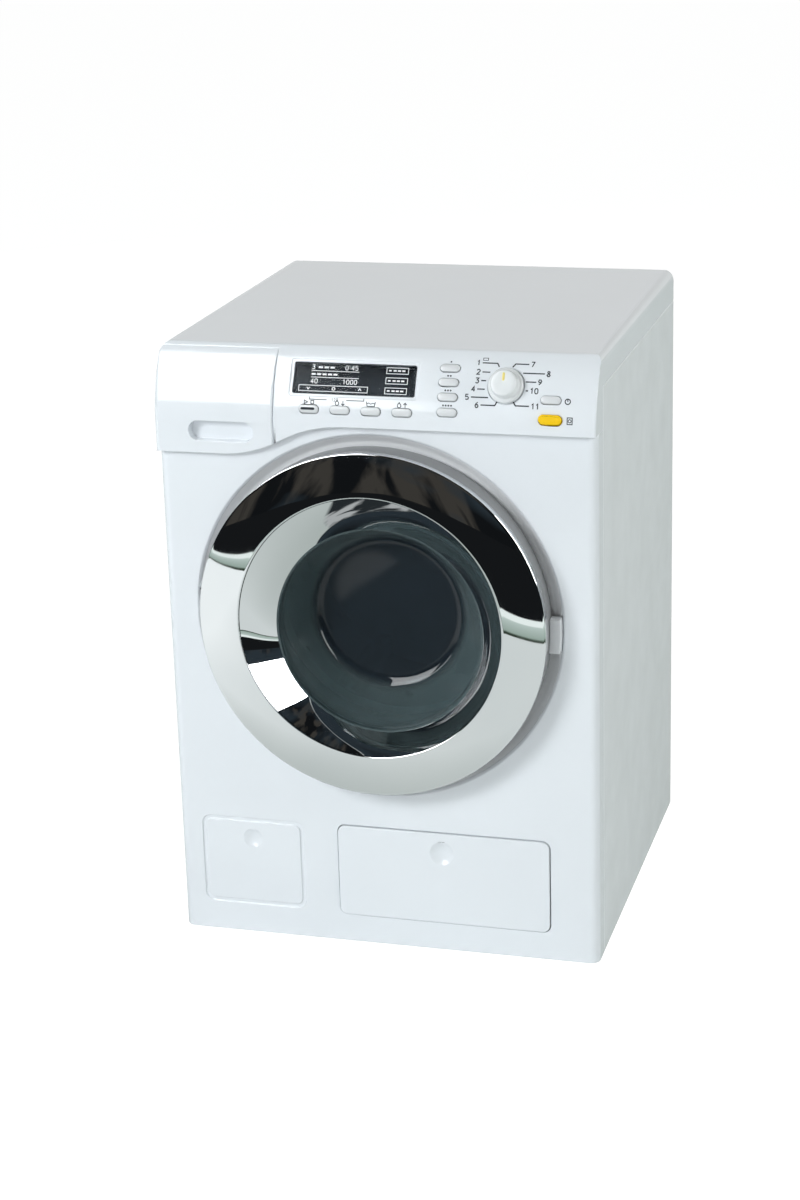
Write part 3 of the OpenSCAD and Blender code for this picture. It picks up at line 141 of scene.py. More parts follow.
def loft(rings, segments, closed=True):
    """Door rings given as (radius, sideways, drop, w), as vertices and faces."""
    verts = []
    for r, side, drop, w in rings:
        for j in range(segments):
            a = 2 * math.pi * j / segments
            verts.append(door_point(r * math.sin(a) + side, r * math.cos(a) - drop, w))
    return verts, ring_faces(len(rings), segments, closed)


def arc(cx, cy, r, a0, a1, steps):
    """Points of an arc in degrees, both ends included."""
    out = []
    for i in range(steps + 1):
        a = math.radians(a0 + (a1 - a0) * i / steps)
        out.append((cx + r * math.cos(a), cy + r * math.sin(a)))
    return out


# ---------- camera ----------

FOCAL_PX, PHOTO_H_PX = 2568.1, 1200
CAMERA_AZ, CAMERA_EL, CAMERA_ROLL = 15.91, 18.44, -1.66
CAMERA_TARGET = (9.7, FRONT_Y, 157.3)
CAMERA_AWAY = 1.0576


def look_camera():
    """Camera solved from the photograph's edges and circles."""
    data = bpy.data.cameras.new("camera")
    data.sensor_fit = "VERTICAL"
    data.sensor_height = 36.0
    data.lens = FOCAL_PX / PHOTO_H_PX * data.sensor_height
    data.clip_start = 0.01
    data.clip_end = 20.0
    camera = bpy.data.objects.new("camera", data)
    scene.collection.objects.link(camera)
    az, el, roll = (math.radians(a) for a in (CAMERA_AZ, CAMERA_EL, CAMERA_ROLL))
    back = Vector((math.sin(az) * math.cos(el), -math.cos(az) * math.cos(el), math.sin(el)))
    right = Vector((math.cos(az), math.sin(az), 0))
    up = back.cross(right)
    right, up = (math.cos(roll) * right + math.sin(roll) * up,
                 math.cos(roll) * up - math.sin(roll) * right)
    place = Vector(CAMERA_TARGET) * MM + back * CAMERA_AWAY
    camera.matrix_world = Matrix((
        (right.x, up.x, back.x, place.x),
        (right.y, up.y, back.y, place.y),
        (right.z, up.z, back.z, place.z),
        (0, 0, 0, 1)))
    scene.camera = camera


look_camera()


# ---------- materials ----------

MAT = {}


def principled(name, rough, metallic=0.0, **sockets):
    """New material, kept in MAT; gives its node tree and its shader, with the sockets set."""
    material = MAT[name] = bpy.data.materials.new(name)
    material.use_nodes = True
    tree = material.node_tree
    shader = tree.nodes["Principled BSDF"]
    shader.inputs["Roughness"].default_value = rough
    shader.inputs["Metallic"].default_value = metallic
    for key, value in sockets.items():
        shader.inputs[key.replace("_", " ")].default_value = value
    return tree, shader


def noise(tree, scale, detail, stretch=None):
    """Noise over the piece's own coordinates, in features per metre."""
    out = tree.nodes.new("ShaderNodeTexCoord").outputs["Object"]
    if stretch:
        mapping = tree.nodes.new("ShaderNodeMapping")
        mapping.inputs["Scale"].default_value = stretch
        tree.links.new(out, mapping.inputs["Vector"])
        out = mapping.outputs["Vector"]
    texture = tree.nodes.new("ShaderNodeTexNoise")
    texture.inputs["Scale"].default_value = scale
    texture.inputs["Detail"].default_value = detail
    tree.links.new(out, texture.inputs["Vector"])
    return texture.outputs["Fac"]


def map_range(tree, value, a, b, low=0.0, high=1.0):
    """Value between a and b as a value between low and high."""
    node = tree.nodes.new("ShaderNodeMapRange")
    node.inputs["From Min"].default_value = a
    node.inputs["From Max"].default_value = b
    node.inputs["To Min"].default_value = low
    node.inputs["To Max"].default_value = high
    tree.links.new(value, node.inputs["Value"])
    return node.outputs["Result"]


def own_axis(tree, axis):
    """One of the piece's own coordinates, in metres."""
    split = tree.nodes.new("ShaderNodeSeparateXYZ")
    tree.links.new(tree.nodes.new("ShaderNodeTexCoord").outputs["Object"], split.inputs["Vector"])
    return split.outputs[axis]


def blend_colour(tree, fac, a, b):
    """Mix of two colours, each a tuple or another node's output."""
    node = tree.nodes.new("ShaderNodeMix")
    node.data_type = "RGBA"
    for socket, value in (("A", a), ("B", b)):
        if isinstance(value, tuple):
            node.inputs[socket].default_value = (*value, 1)
        else:
            tree.links.new(value, node.inputs[socket])
    tree.links.new(fac, node.inputs["Factor"])
    return node.outputs["Result"]


def ramp(tree, fac, stops, interpolation="LINEAR"):
    """Colour that follows fac through stops of (position, colour)."""
    node = tree.nodes.new("ShaderNodeValToRGB")
    node.color_ramp.interpolation = interpolation
    marks = node.color_ramp.elements
    for i in (0, -1):
        marks[i].position, marks[i].color = stops[i][0], (*stops[i][1], 1)
    for at, colour in stops[1:-1]:
        marks.new(at).color = (*colour, 1)
    tree.links.new(fac, node.inputs["Fac"])
    return node.outputs["Color"]


# Part of a noise's range over which a look changes
NOISE_LOW, NOISE_HIGH = 0.3, 0.7


def two_tone(tree, fac, low, high):
    """Colour that follows a noise from low to high."""
    return ramp(tree, fac, ((NOISE_LOW, low), (NOISE_HIGH, high)))


def vary_colour(tree, shader, fac, low, high):
    tree.links.new(two_tone(tree, fac, low, high), shader.inputs["Base Color"])


def vary_rough(tree, shader, fac, low, high):
    rough = map_range(tree, fac, NOISE_LOW, NOISE_HIGH, low, high)
    tree.links.new(rough, shader.inputs["Roughness"])


def bump(tree, shader, fac, depth):
    node = tree.nodes.new("ShaderNodeBump")
    node.inputs["Strength"].default_value = 1.0
    node.inputs["Distance"].default_value = depth
    tree.links.new(fac, node.inputs["Height"])
    tree.links.new(node.outputs["Normal"], shader.inputs["Normal"])


def plastic(name, colour, rough, spread=0.012, grain=350.0, depth=0.000003, **sockets):
    """Moulded plastic: faint flow marks in colour and gloss, and a fine skin."""
    tree, shader = principled(name, rough, **sockets)
    low = tuple(c * (1 - spread) for c in colour)
    high = tuple(min(1.0, c * (1 + spread)) for c in colour)
    vary_colour(tree, shader, noise(tree, 14.0, 2.0), low, high)
    vary_rough(tree, shader, noise(tree, 45.0, 3.0), rough * 0.85, rough * 1.2)
    bump(tree, shader, noise(tree, grain, 2.0), depth)


def metal(name, colour, rough):
    """Metal with a fine grain."""
    tree, shader = principled(name, rough, 1.0)
    low = tuple(c * 0.93 for c in colour)
    vary_colour(tree, shader, noise(tree, 60.0, 3.0), low, colour)
    fine = noise(tree, 700.0, 3.0)
    vary_rough(tree, shader, fine, rough * 0.8, rough * 1.3)
    bump(tree, shader, fine, 0.000004)


WHITE = (0.80, 0.82, 0.845)
PANEL = (0.80, 0.825, 0.86)
plastic("cabinet_white", WHITE, 0.22)
plastic("panel_white", PANEL, 0.12)
plastic("inner_grey", (0.34, 0.35, 0.36), 0.55, 0.04, 500, 0.00002)
plastic("ring_grey", (0.79, 0.795, 0.81), 0.36, 0.03, 900, 0.000006)
plastic("tab_grey", (0.7, 0.71, 0.73), 0.34)
# Door frame: the tab's grey darkened with painted shade, the shade on its wall in the recess
plastic("frame_grey_painted_shade", (0.28, 0.285, 0.295), 0.34)
plastic("seal_rubber", (0.022, 0.024, 0.026), 0.6, 0.1, 700, 0.00003)
metal("steel", (0.6, 0.61, 0.62), 0.32)
plastic("drum_silver", (0.3, 0.31, 0.33), 0.35, 0.03, 900, 0.00001, Metallic=0.6)
metal("bronze", (0.55, 0.36, 0.17), 0.38)
plastic("nylon", (0.68, 0.65, 0.56), 0.45, 0.02, 500, 0.00001)
plastic("key_white", (0.67, 0.68, 0.695), 0.22)
plastic("knob_white", (0.75, 0.765, 0.775), 0.22)
plastic("yellow", (0.92, 0.57, 0.0), 0.22, 0.03, Specular_IOR_Level=0.3)
plastic("pad_silicone", (0.42, 0.43, 0.45), 0.55, 0.03, 500, 0.00001)
plastic("black_plastic", (0.012, 0.013, 0.015), 0.4, 0.1)
plastic("print_ink", (0.02, 0.024, 0.03), 0.5, 0.1, 2500, 0.000003, Specular_IOR_Level=0.2)
plastic("figure_white", (0.9, 0.92, 0.94), 0.5, 0.03, 2500, 0.000003)
plastic("display_dark", (0.018, 0.023, 0.028), 0.5, 0.15, 3000, 0.000004,
        Specular_IOR_Level=0.3)
plastic("pointer_yellow", (0.86, 0.72, 0.22), 0.3, 0.03)


def chrome_material():
    """Vacuum-plated plastic: a mirror with a faint swell of the moulding below."""
    tree, shader = principled("chrome", 0.02, 1.0)
    cloud = noise(tree, 30.0, 2.0)
    vary_colour(tree, shader, cloud, (0.86, 0.87, 0.885), (0.9, 0.905, 0.915))
    vary_rough(tree, shader, noise(tree, 120.0, 3.0), 0.012, 0.035)
    bump(tree, shader, noise(tree, 26.0, 1.0), 0.0003)


def smoked_material():
    """Smoked clear plastic of the door's bowl, with painted light and shade: a paler wall and a
    dark end.
    """
    tree, shader = principled(
        "smoked_glass", 0.03, 0.0, Transmission_Weight=0.84, IOR=1.46, Specular_IOR_Level=0.32)
    # Painted light and shade by depth along the bowl: the wall painted paler, the flat end darker
    end_y = FRONT_Y + BOWL_DEPTH
    depth = map_range(tree, own_axis(tree, "Y"), (end_y - 4.5) * MM, (end_y - 2.0) * MM)
    cloud = noise(tree, 20.0, 2.0)
    wall = two_tone(tree, cloud, (0.27, 0.37, 0.39), (0.38, 0.48, 0.5))
    disc = two_tone(tree, cloud, (0.055, 0.08, 0.105), (0.068, 0.095, 0.125))
    tree.links.new(blend_colour(tree, depth, wall, disc), shader.inputs["Base Color"])
    vary_rough(tree, shader, noise(tree, 90.0, 3.0), 0.02, 0.045)
    bump(tree, shader, noise(tree, 28.0, 1.0), 0.00002)


def window_material():
    """Clear pane of the display, lightly tinted."""
    tree, shader = principled("window_clear", 0.05, 0.0, Transmission_Weight=1.0, IOR=1.12)
    vary_colour(tree, shader, noise(tree, 60.0, 2.0), (0.8, 0.83, 0.86), (0.84, 0.87, 0.9))
    vary_rough(tree, shader, noise(tree, 150.0, 3.0), 0.03, 0.07)
    bump(tree, shader, noise(tree, 900.0, 2.0), 0.000005)


def board_material():
    """Green board with a faint pattern of tracks under the lacquer."""
    tree, shader = principled("board_green", 0.35)
    place = tree.nodes.new("ShaderNodeTexCoord")
    tracks = tree.nodes.new("ShaderNodeTexBrick")
    tracks.inputs["Scale"].default_value = 160.0
    tracks.inputs["Color1"].default_value = (0.012, 0.09, 0.035, 1)
    tracks.inputs["Color2"].default_value = (0.015, 0.11, 0.04, 1)
    tracks.inputs["Mortar"].default_value = (0.03, 0.18, 0.07, 1)
    tree.links.new(place.outputs["Object"], tracks.inputs["Vector"])
    tree.links.new(tracks.outputs["Color"], shader.inputs["Base Color"])
    vary_rough(tree, shader, noise(tree, 300.0, 2.0), 0.28, 0.45)


# Heights of the battery sleeves' lower and upper end, in metres
CELL_LOW, CELL_HIGH = 0.019, 0.0695


def cell_material():
    """Plain sleeve of a battery: a dark body with a pale band near its top."""
    tree, shader = principled("cell_wrap", 0.28, 0.4)
    height = map_range(tree, own_axis(tree, "Z"), CELL_LOW, CELL_HIGH)
    colour = ramp(tree, height, ((0, (0.03, 0.033, 0.04)), (0.72, (0.5, 0.5, 0.52))), "CONSTANT")
    tree.links.new(colour, shader.inputs["Base Color"])
    vary_rough(tree, shader, noise(tree, 200.0, 2.0), 0.22, 0.36)


chrome_material()
smoked_material()
window_material()
board_material()
cell_material()


def dress_nodes():
    """Every CAD node takes the material of its slot in the record."""
    for part in frame["record"]["subparts"]:
        node = nodes[part["node"]]
        material = MAT[part["material_slot"]]
        if not node.data.materials:
            node.data.materials.append(material)
        for slot in node.material_slots:
            slot.material = material
    # Nodes that look different from the rest of their slot
    # The door frame takes the tab's grey darkened by painted shade
    for name, look in (("display_window", "window_clear"), ("display_card", "display_dark"),
                       ("door_frame", "frame_grey_painted_shade")):
        for slot in nodes[name].material_slots:
            slot.material = MAT[look]


def slot_of(node):
    """Material slot that the record gives the node."""
    return next(p["material_slot"] for p in frame["record"]["subparts"] if p["node"] == node)


dress_nodes()


# ---------- cabinet ----------

CORNER_R = 4.0
FASCIA_Y = FRONT_Y - 3.2
TOP_EDGE_R, CRISP_R = 5.0, 2.6
DRAWER_X = -41.3
FASCIA_BACK_Y = -75


def crisp_end(bm, side):
    """Square the upright corner at one end of the fascia, and tighten the top one."""
    middle = (BODY_W / 2 - CORNER_R, FASCIA_Y + CORNER_R)
    for vert in bm.verts:
        x, y, z = vert.co.x / MM * side, vert.co.y / MM, vert.co.z / MM
        if y > FASCIA_BACK_Y or x < middle[0] - TOP_EDGE_R:
            continue
        round_face = math.dist((x, y), middle) > CORNER_R - 0.1
        upright = round_face and y < middle[1] + 0.05 and x > middle[0] - 0.05
        bow = z > BODY_H - TOP_EDGE_R - 0.05
        level = min(TOP_EDGE_R, max(0.0, z - BODY_H + TOP_EDGE_R))
        edge_x = BODY_W / 2 - TOP_EDGE_R + math.sqrt(TOP_EDGE_R ** 2 - level ** 2)
        if upright:
            vert.co.x = side * BODY_W / 2 * MM
            if z < CURVE_Z and y < middle[1] - 0.05:
                vert.co.y = FASCIA_Y * MM
        if side > 0 and bow and abs(x - edge_x) < 0.2:
            level = min(CRISP_R, max(0.0, z - BODY_H + CRISP_R))
            vert.co.x = side * (BODY_W / 2 - CRISP_R + math.sqrt(CRISP_R ** 2 - level ** 2)) * MM


# Widths of the rounding on the fascia's edges, and the height over which it fades out
EDGE_W, RIGHT_END_W, LEFT_END_W, DRAWER_SIDE_W = 0.2, 0.8, 1.7, 0.9
FADE_TOP_Z, FADE_RUN = 257.5, 12


def fascia_ends(a, b):
    """Width of the rounding on the fascia's ends and on the edges beside the drawer."""
    for p in (a, b):
        face_y = CURVE_Y - math.sqrt(max(0.0, FASCIA_R ** 2 - max(0.0, p.z - CURVE_Z) ** 2))
        if abs(p.y - face_y) > 0.1:
            return None
    if abs(a.z - b.z) < 0.01 or abs(a.x - b.x) > 0.1:
        return None
    full = EDGE_W
    if a.x > BODY_W / 2 - 0.1:
        full = RIGHT_END_W
    elif a.x < -BODY_W / 2 + 0.1:
        full = LEFT_END_W
    elif abs(a.x - DRAWER_X) < 0.3:
        full = DRAWER_SIDE_W
    fade = min(1.0, max(0.0, (FADE_TOP_Z - (a.z + b.z) / 2) / FADE_RUN))
    return EDGE_W + (full - EDGE_W) * fade


RECESS_R = 78.0


def recess_edge(bm):
    """Ease the front panel into the door's recess, the recess's wall to match it,
    and let the finger tab reach that wall."""
    for vert in bm.verts:
        x, z, w = vert.co.x / MM, vert.co.z / MM - DOOR_Z, FRONT_Y - vert.co.y / MM
        r = math.hypot(x, z)
        to_r, to_w = r, w
        # Outer rim of the panel's chamfer
        if abs(r - RECESS_R - 1) < 0.06 and abs(w) < 0.02:
            to_r = RECESS_R + 1.05
        # Top of the surround's wall, and the edge below it
        elif abs(r - RECESS_R + 0.2) < 0.06 and abs(w) < 0.02:
            to_r, to_w = RECESS_R - 0.03, -1.25
        elif abs(r - RECESS_R + 0.9) < 0.06 and abs(w + 1.2) < 0.02:
            to_w = -2.1
        # Outer side of the finger tab
        elif abs(r - RECESS_R + 0.4) < 0.06:
            to_r = RECESS_R - 0.12
        vert.co = (x * to_r / r * MM, (FRONT_Y - to_w) * MM, (DOOR_Z + z * to_r / r) * MM)


RESHAPE = {
    "top_cover": lambda bm: crisp_end(bm, 1), "drawer_front": lambda bm: crisp_end(bm, -1),
    "front_panel": recess_edge, "door_surround": recess_edge, "door_tab": recess_edge,
}


# Edges sharper than this, in degrees, are rounded
ROUNDED_ANGLE = 32
WIDEST_END = 2.0


def skin(node, name, body, width):
    """Copy of a CAD node with softly rounded edges, in place of the node."""
    mesh = nodes[node].data.copy()
    bm = bmesh.new()
    bm.from_mesh(mesh)
    bmesh.ops.remove_doubles(bm, verts=bm.verts, dist=1e-6)
    if node in RESHAPE:
        RESHAPE[node](bm)
        bmesh.ops.remove_doubles(bm, verts=bm.verts, dist=1e-6)
    bmesh.ops.dissolve_limit(bm, angle_limit=math.radians(0.6), verts=bm.verts, edges=bm.edges)
    ends = node in ("top_cover", "drawer_front")
    widest = WIDEST_END if ends else width
    if ends:
        weight = bm.edges.layers.float.new("bevel_weight_edge")
        for edge in bm.edges:
            if edge.calc_face_angle(0.0) > math.radians(ROUNDED_ANGLE):
                a, b = (vert.co / MM for vert in edge.verts)
                edge[weight] = (fascia_ends(a, b) or width) / widest
    bm.to_mesh(mesh)
    bm.free()
    mesh.name = name
    for layer in list(mesh.attributes):
        if layer.name in ("custom_normal", "sharp_edge"):
            mesh.attributes.remove(layer)
    slot = slot_of(node)
    piece = add_piece(name, mesh, MAT[slot], body, (node,), ROUNDED_ANGLE)
    soft = piece.modifiers.new("soft_edges", "BEVEL")
    soft.width = widest * MM
    soft.segments = 3
    soft.limit_method = "WEIGHT" if ends else "ANGLE"
    soft.angle_limit = math.radians(ROUNDED_ANGLE)
    soft.use_clamp_overlap = False
    soft.harden_normals = True
    even = piece.modifiers.new("even_faces", "WEIGHTED_NORMAL")
    even.keep_sharp = True


def cabinet():
    """Skins of the outer shells, each with the width of its rounding."""
    for node, body, width in (
            ("body_shell", "housing", 0.4), ("front_panel", "housing", 0.3),
            ("top_cover", "housing", 0.2), ("drawer_front", "drawer", 0.2),
            ("door_surround", "housing", 0.2), ("water_tray", "tray", 0.4),
            ("door_tab", "door", 0.5), ("battery_cover", "housing", 0.3)):
        skin(node, node + "_skin", body, width)


cabinet()


def latch_coil():
    """Copy of the latch's coil spring, in place of its node."""
    node = nodes["latch_spring"]
    coil = add_piece("latch_coil", node.data.copy(), MAT[slot_of("latch_spring")], "housing",
                     ("latch_spring",))
    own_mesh(coil)


latch_coil()


# ---------- door ----------

SEGMENTS = 288
FUNNEL_SWELL = 0.35


def chrome_ring():
    """Crowned ring with a rolled outer edge and a crisp lip at the step."""
    run, drop = DOOR_R - STEP_R, STEP_W - RIM_W
    # The crown's slope goes evenly from lip_slope at the step to edge_slope at the rim
    edge_slope = math.radians(14)
    lip_slope = 2 * drop / run - edge_slope
    steps, lip, roll = 24, 0.1, 0.4
    profile = [(STEP_R - 0.35, STEP_W - 0.75), (STEP_R - 0.3, STEP_W - 0.3)]
    profile += arc(STEP_R + lip, STEP_W - roll, roll, 180, 90, 5)
    for i in range(1, steps + 1):
        reach = lip + (run - lip - roll) * i / steps
        fall = lip_slope * reach + (edge_slope - lip_slope) * reach ** 2 / run / 2
        profile.append((STEP_R + reach, STEP_W - fall))
    edge_w = profile[-1][1]
    profile += arc(DOOR_R - roll, edge_w - roll * 0.97, roll, 70, 0, 8)
    # Outer wall and hollow back
    profile += [(DOOR_R, 9.0), (DOOR_R - 0.58, 9.0), (DOOR_R - 0.58, 10.6),
                (STEP_R + 1, 12.4), (STEP_R - 0.35, 13.2)]
    verts, faces = loft([(r, 0, 0, w) for r, w in profile], SEGMENTS)
    add_mesh("door_ring_chrome", verts, faces, MAT["chrome"], "door", ("door_ring",), 50)


def chrome_funnel():
    """Slanting funnel from under the ring's lip to the glass."""
    low_w, high_w = GLASS_W + 0.1, STEP_W - 0.6
    steps = 28
    front, back = [], []
    for i in range(steps + 1):
        t = i / steps
        r = STEP_R - 0.45 + (GLASS_R - STEP_R - 0.15) * t
        w = high_w + (low_w - high_w) * t + FUNNEL_SWELL * math.sin(math.pi * t)
        front.append((r, GLASS_X * t, GLASS_DROP * t, w))
        back.append((r + 0.9, GLASS_X * t, GLASS_DROP * t, w - 1.1))
    back[0] = (STEP_R - 0.42, 0, 0, high_w - 1.2)
    back[-1] = (GLASS_R + 0.6, GLASS_X, GLASS_DROP, low_w)
    verts, faces = loft(front + list(reversed(back)), SEGMENTS)
    add_mesh("door_funnel_chrome", verts, faces, MAT["chrome"], "door",
             ("door_funnel",), 50)


def bowl_profile(inset):
    """Bowl from the rim down its wall, round the corner and along the flat end."""
    rim = (GLASS_R - inset, GLASS_X, GLASS_DROP, GLASS_W)
    neck = (GLASS_R - inset - 0.2, GLASS_X, GLASS_DROP, FLANGE_W)
    knee = (BOWL_R + 3.6 - inset, GLASS_X / 3, (GLASS_DROP + 2 * BOWL_DROP) / 3,
            -BOWL_DEPTH + 4.5 + inset)
    corner = (BOWL_R - inset, 0, BOWL_DROP, -BOWL_DEPTH + inset)
    centre = (0.02, 0, BOWL_DROP, -BOWL_DEPTH + inset)
    path = [rim]
    path += bend(rim, neck, knee, 2.5)
    path += bend(neck, knee, corner, 3.2)
    path += bend(knee, corner, centre, 2.6)
    start = path[-1]
    path += [tuple(a + (b - a) * t for a, b in zip(start, centre)) for t in (0.25, 0.5, 0.75, 1.0)]
    return path


BEND_STEPS = 9


def bend(a, b, c, reach):
    """Soft corner at b: points from reach before it to reach after it."""
    def toward(p, q):
        span = math.dist(p, q)
        k = min(0.48, reach / span)
        return tuple(u + (v - u) * k for u, v in zip(p, q))
    first, last = toward(b, a), toward(b, c)
    out = []
    for i in range(BEND_STEPS + 1):
        t = i / BEND_STEPS
        out.append(tuple((1 - t) ** 2 * u + 2 * t * (1 - t) * v + t * t * w
                         for u, v, w in zip(first, b, last)))
    return out


BOWL_SEGMENTS = 216
FLANGE_R = GLASS_R + 2.3
FLANGE_FRONT_W = 0.55


def smoked_bowl():
    """Double-walled bowl, and the flange behind the funnel that holds it."""
    def rim_ring(r, w):
        return r, GLASS_X, GLASS_DROP, w
    outer, inner = bowl_profile(0.0), bowl_profile(GLASS_WALL)
    lip = [rim_ring(GLASS_R - 1.1, GLASS_W + 0.05), rim_ring(GLASS_R - 0.6, GLASS_W + 0.09)]
    verts, faces = loft(list(reversed(inner)) + lip + outer, BOWL_SEGMENTS, closed=False)
    add_mesh("door_bowl", verts, faces, MAT["smoked_glass"], "door",
             ("door_glass",), 60)
    flange = [rim_ring(r, w) for r, w in (
        (GLASS_R + 0.05, FLANGE_W + 0.02), (FLANGE_R, FLANGE_W + 0.02),
        (FLANGE_R, FLANGE_FRONT_W), (GLASS_R + 0.05, FLANGE_FRONT_W))]
    verts, faces = loft(flange, BOWL_SEGMENTS)
    add_mesh("door_bowl_flange", verts, faces, MAT["smoked_glass"], "door")


chrome_ring()
chrome_funnel()
smoked_bowl()


# ---------- keys and knob ----------

def oblong_outline(length, width, count=16):
    """Points round an oblong with round ends, centred."""
    r, half = width / 2, (length - width) / 2
    return arc(half, 0, r, -90, 90, count) + arc(-half, 0, r, 90, 270, count)


def rings_to_mesh(rings):
    """Closed skin through rings of equal length, capped at both ends."""
    count = len(rings[0])
    verts = [p for ring in rings for p in ring]
    faces = ring_faces(len(rings), count, closed=False)
    faces.append(tuple(reversed(range(count))))
    faces.append(tuple(range((len(rings) - 1) * count, len(rings) * count)))
    return verts, faces


KEY_LEN, KEY_H, KEY_SOFT_R = 8.1, 3.1, 0.55
KEY_FLANGE_GROW, KEY_FLANGE_LOW, KEY_FLANGE_TOP = 0.7, -4.05, -3.15
STEM_R, STEM_LOW_W, STEM_TOP_W, STEM_SIDES = 1.3, -12.2, -3.6, 24


def press_key(node, x, v):
    """Key cap that follows the curved face, with its flange and stem behind."""
    soft_lift = KEY_PROUD - KEY_SOFT_R
    levels = [  # (growth of the outline, lift over the curved face)
        (KEY_FLANGE_GROW, KEY_FLANGE_LOW), (KEY_FLANGE_GROW, KEY_FLANGE_TOP),
        (0.0, KEY_FLANGE_TOP), (0.0, soft_lift)]
    levels += [(-0.5 + 0.5 * math.cos(a), soft_lift + 0.5 * math.sin(a))
               for a in [math.radians(15 * i) for i in range(1, 7)]]
    levels += [(-0.85, KEY_PROUD), (-1.2, KEY_PROUD + 0.03)]
    rings = []
    for grow, lift in levels:
        outline = oblong_outline(KEY_LEN + 2 * grow, KEY_H + 2 * grow)
        rings.append([control_point(x + dx, v + dy, lift) for dx, dy in outline])
    verts, faces = rings_to_mesh(rings)
    start = len(verts)
    top_w = STEM_TOP_W - v * v / (2 * FASCIA_R)
    round_stem = arc(0, 0, STEM_R, 0, 345, STEM_SIDES - 1)
    verts += [control_frame(x + dx, v + dy, w)
              for w in (STEM_LOW_W, top_w) for dx, dy in round_stem]
    faces += [tuple(start + i for i in face) for face in ring_faces(2, STEM_SIDES, closed=False)]
    faces += [tuple(first + i for i in range(STEM_SIDES)) for first in (start, start + STEM_SIDES)]
    add_mesh(node + "_cap", verts, faces, MAT["key_white"], node, (node,), 40)


ROW_X, ROW_PITCH, ROW_V = 0.4, 13.0, -11.7
COLUMN_X, COLUMN_V = 32.0, (7.1, 1.1, -4.9, -10.9)
POWER_X, POWER_V = 74.1, -4.5


def all_keys():
    """Nine white keys on the curved face, and the yellow door key as a copy of its node."""
    row = ("start_key", "water_in_key", "wash_key", "water_out_key")
    column = ("option_key_1", "option_key_2", "option_key_3", "spin_key")
    places = [(n, ROW_X + (i - 2) * ROW_PITCH, ROW_V) for i, n in enumerate(row)]
    places += [(n, COLUMN_X, COLUMN_V[i]) for i, n in enumerate(column)]
    places.append(("power_key", POWER_X, POWER_V))
    for name, x, v in places:
        press_key(name, x, v)
    skin("door_key", "door_key_cap", "door_key", 0.35)


KNOB_X, KNOB_V, KNOB_R, CAP_R, KNOB_H = 55.5, 0.6, 7.2, 5.1, 6.6
KNOB_W = math.sqrt(FASCIA_R ** 2 - (KNOB_R + KNOB_V) ** 2) - FASCIA_R


def turned(profile, segments):
    """Body of revolution about the knob's axis, from (radius, height over its base)."""
    verts = []
    for r, w in profile:
        for j in range(segments):
            a = 2 * math.pi * j / segments
            x, v = KNOB_X + r * math.cos(a), KNOB_V + r * math.sin(a)
            verts.append(control_frame(x, v, KNOB_W + w))
    faces = ring_faces(len(profile), segments, closed=False)
    faces.append(tuple(range(segments)))
    last = (len(profile) - 1) * segments
    faces.append(tuple(range(last, last + segments)))
    return verts, faces


def knob():
    """Knob with a soft skirt and cap, and its raised pointer."""
    # Hollow underside and foot
    profile = [(2.05, 0.9), (KNOB_R - 0.8, 0.9), (KNOB_R - 0.8, 0.0), (KNOB_R - 0.3, 0.0)]
    # Skirt, its shoulder, and the fillet up to the cap
    profile += arc(KNOB_R - 0.3, 0.3, 0.3, -90, 0, 4)
    profile += arc(KNOB_R - 1.2, 1.7, 1.2, 0, 55, 6)
    profile += arc(CAP_R + 1.25, 3.3, 0.6, 235, 190, 4)
    # Cap's side, round edge and slightly dished top
    profile += [(CAP_R + 0.28, KNOB_H - 1.1)]
    profile += arc(CAP_R - 0.55, KNOB_H - 0.75, 0.75, 10, 84, 7)
    profile += [(CAP_R - 1.6, KNOB_H), (CAP_R - 3.0, KNOB_H - 0.06), (0.3, KNOB_H - 0.1)]
    verts, faces = turned(profile, 128)
    add_mesh("program_knob_body", verts, faces, MAT["knob_white"], "knob",
             ("program_knob",), 40)
    outline = [(-dy, dx) for dx, dy in oblong_outline(3.4, 1.0)]
    mid_v = KNOB_V + CAP_R - 2.7
    rings = [[control_frame(KNOB_X + dx * (1 - cut), mid_v + dy * (1 - cut), KNOB_W + KNOB_H + lift)
              for dx, dy in outline] for cut, lift in ((0, -0.2), (0, 0.08), (0.08, 0.14))]
    verts, faces = rings_to_mesh(rings)
    add_mesh("knob_pointer", verts, faces, MAT["pointer_yellow"], "knob", ("knob_mark",))


all_keys()
knob()


# ---------- prints ----------

# A print's face and back, as lifts over the surface under it
PRINT_LIFT, PRINT_ROOT = 0.035, -0.04


def on_fascia(x, v):
    """Face and back of a print at a point of the curved face."""
    return control_point(x, v, PRINT_LIFT), control_point(x, v, PRINT_ROOT)


def on_start_key(x, v):
    return control_point(x, v, KEY_PROUD + 0.05), control_point(x, v, KEY_PROUD - 0.08)


DISPLAY_X, DISPLAY_V = -7.5, 1.2
WINDOW_SINK = 0.95
DISPLAY_LEAN = -math.asin(DISPLAY_V / FASCIA_R)


def on_pane(x, v):
    """Point on the display's pane, from its centre."""
    w0 = math.sqrt(FASCIA_R ** 2 - DISPLAY_V ** 2) - FASCIA_R
    out = []
    for w in (-WINDOW_SINK + 0.02, -WINDOW_SINK - 0.03):
        dv = v * math.cos(DISPLAY_LEAN) - w * math.sin(DISPLAY_LEAN)
        dw = v * math.sin(DISPLAY_LEAN) + w * math.cos(DISPLAY_LEAN)
        out.append(control_frame(DISPLAY_X + x, DISPLAY_V + dv, w0 + dw))
    return out


PRINT_STEP = 1.2


def densify(points):
    """Points along a line, close enough together to follow the curved face."""
    out = [points[0]]
    for a, b in zip(points, points[1:]):
        n = max(1, math.ceil(math.dist(a, b) / PRINT_STEP))
        out += [(a[0] + (b[0] - a[0]) * i / n, a[1] + (b[1] - a[1]) * i / n)
                for i in range(1, n + 1)]
    return out


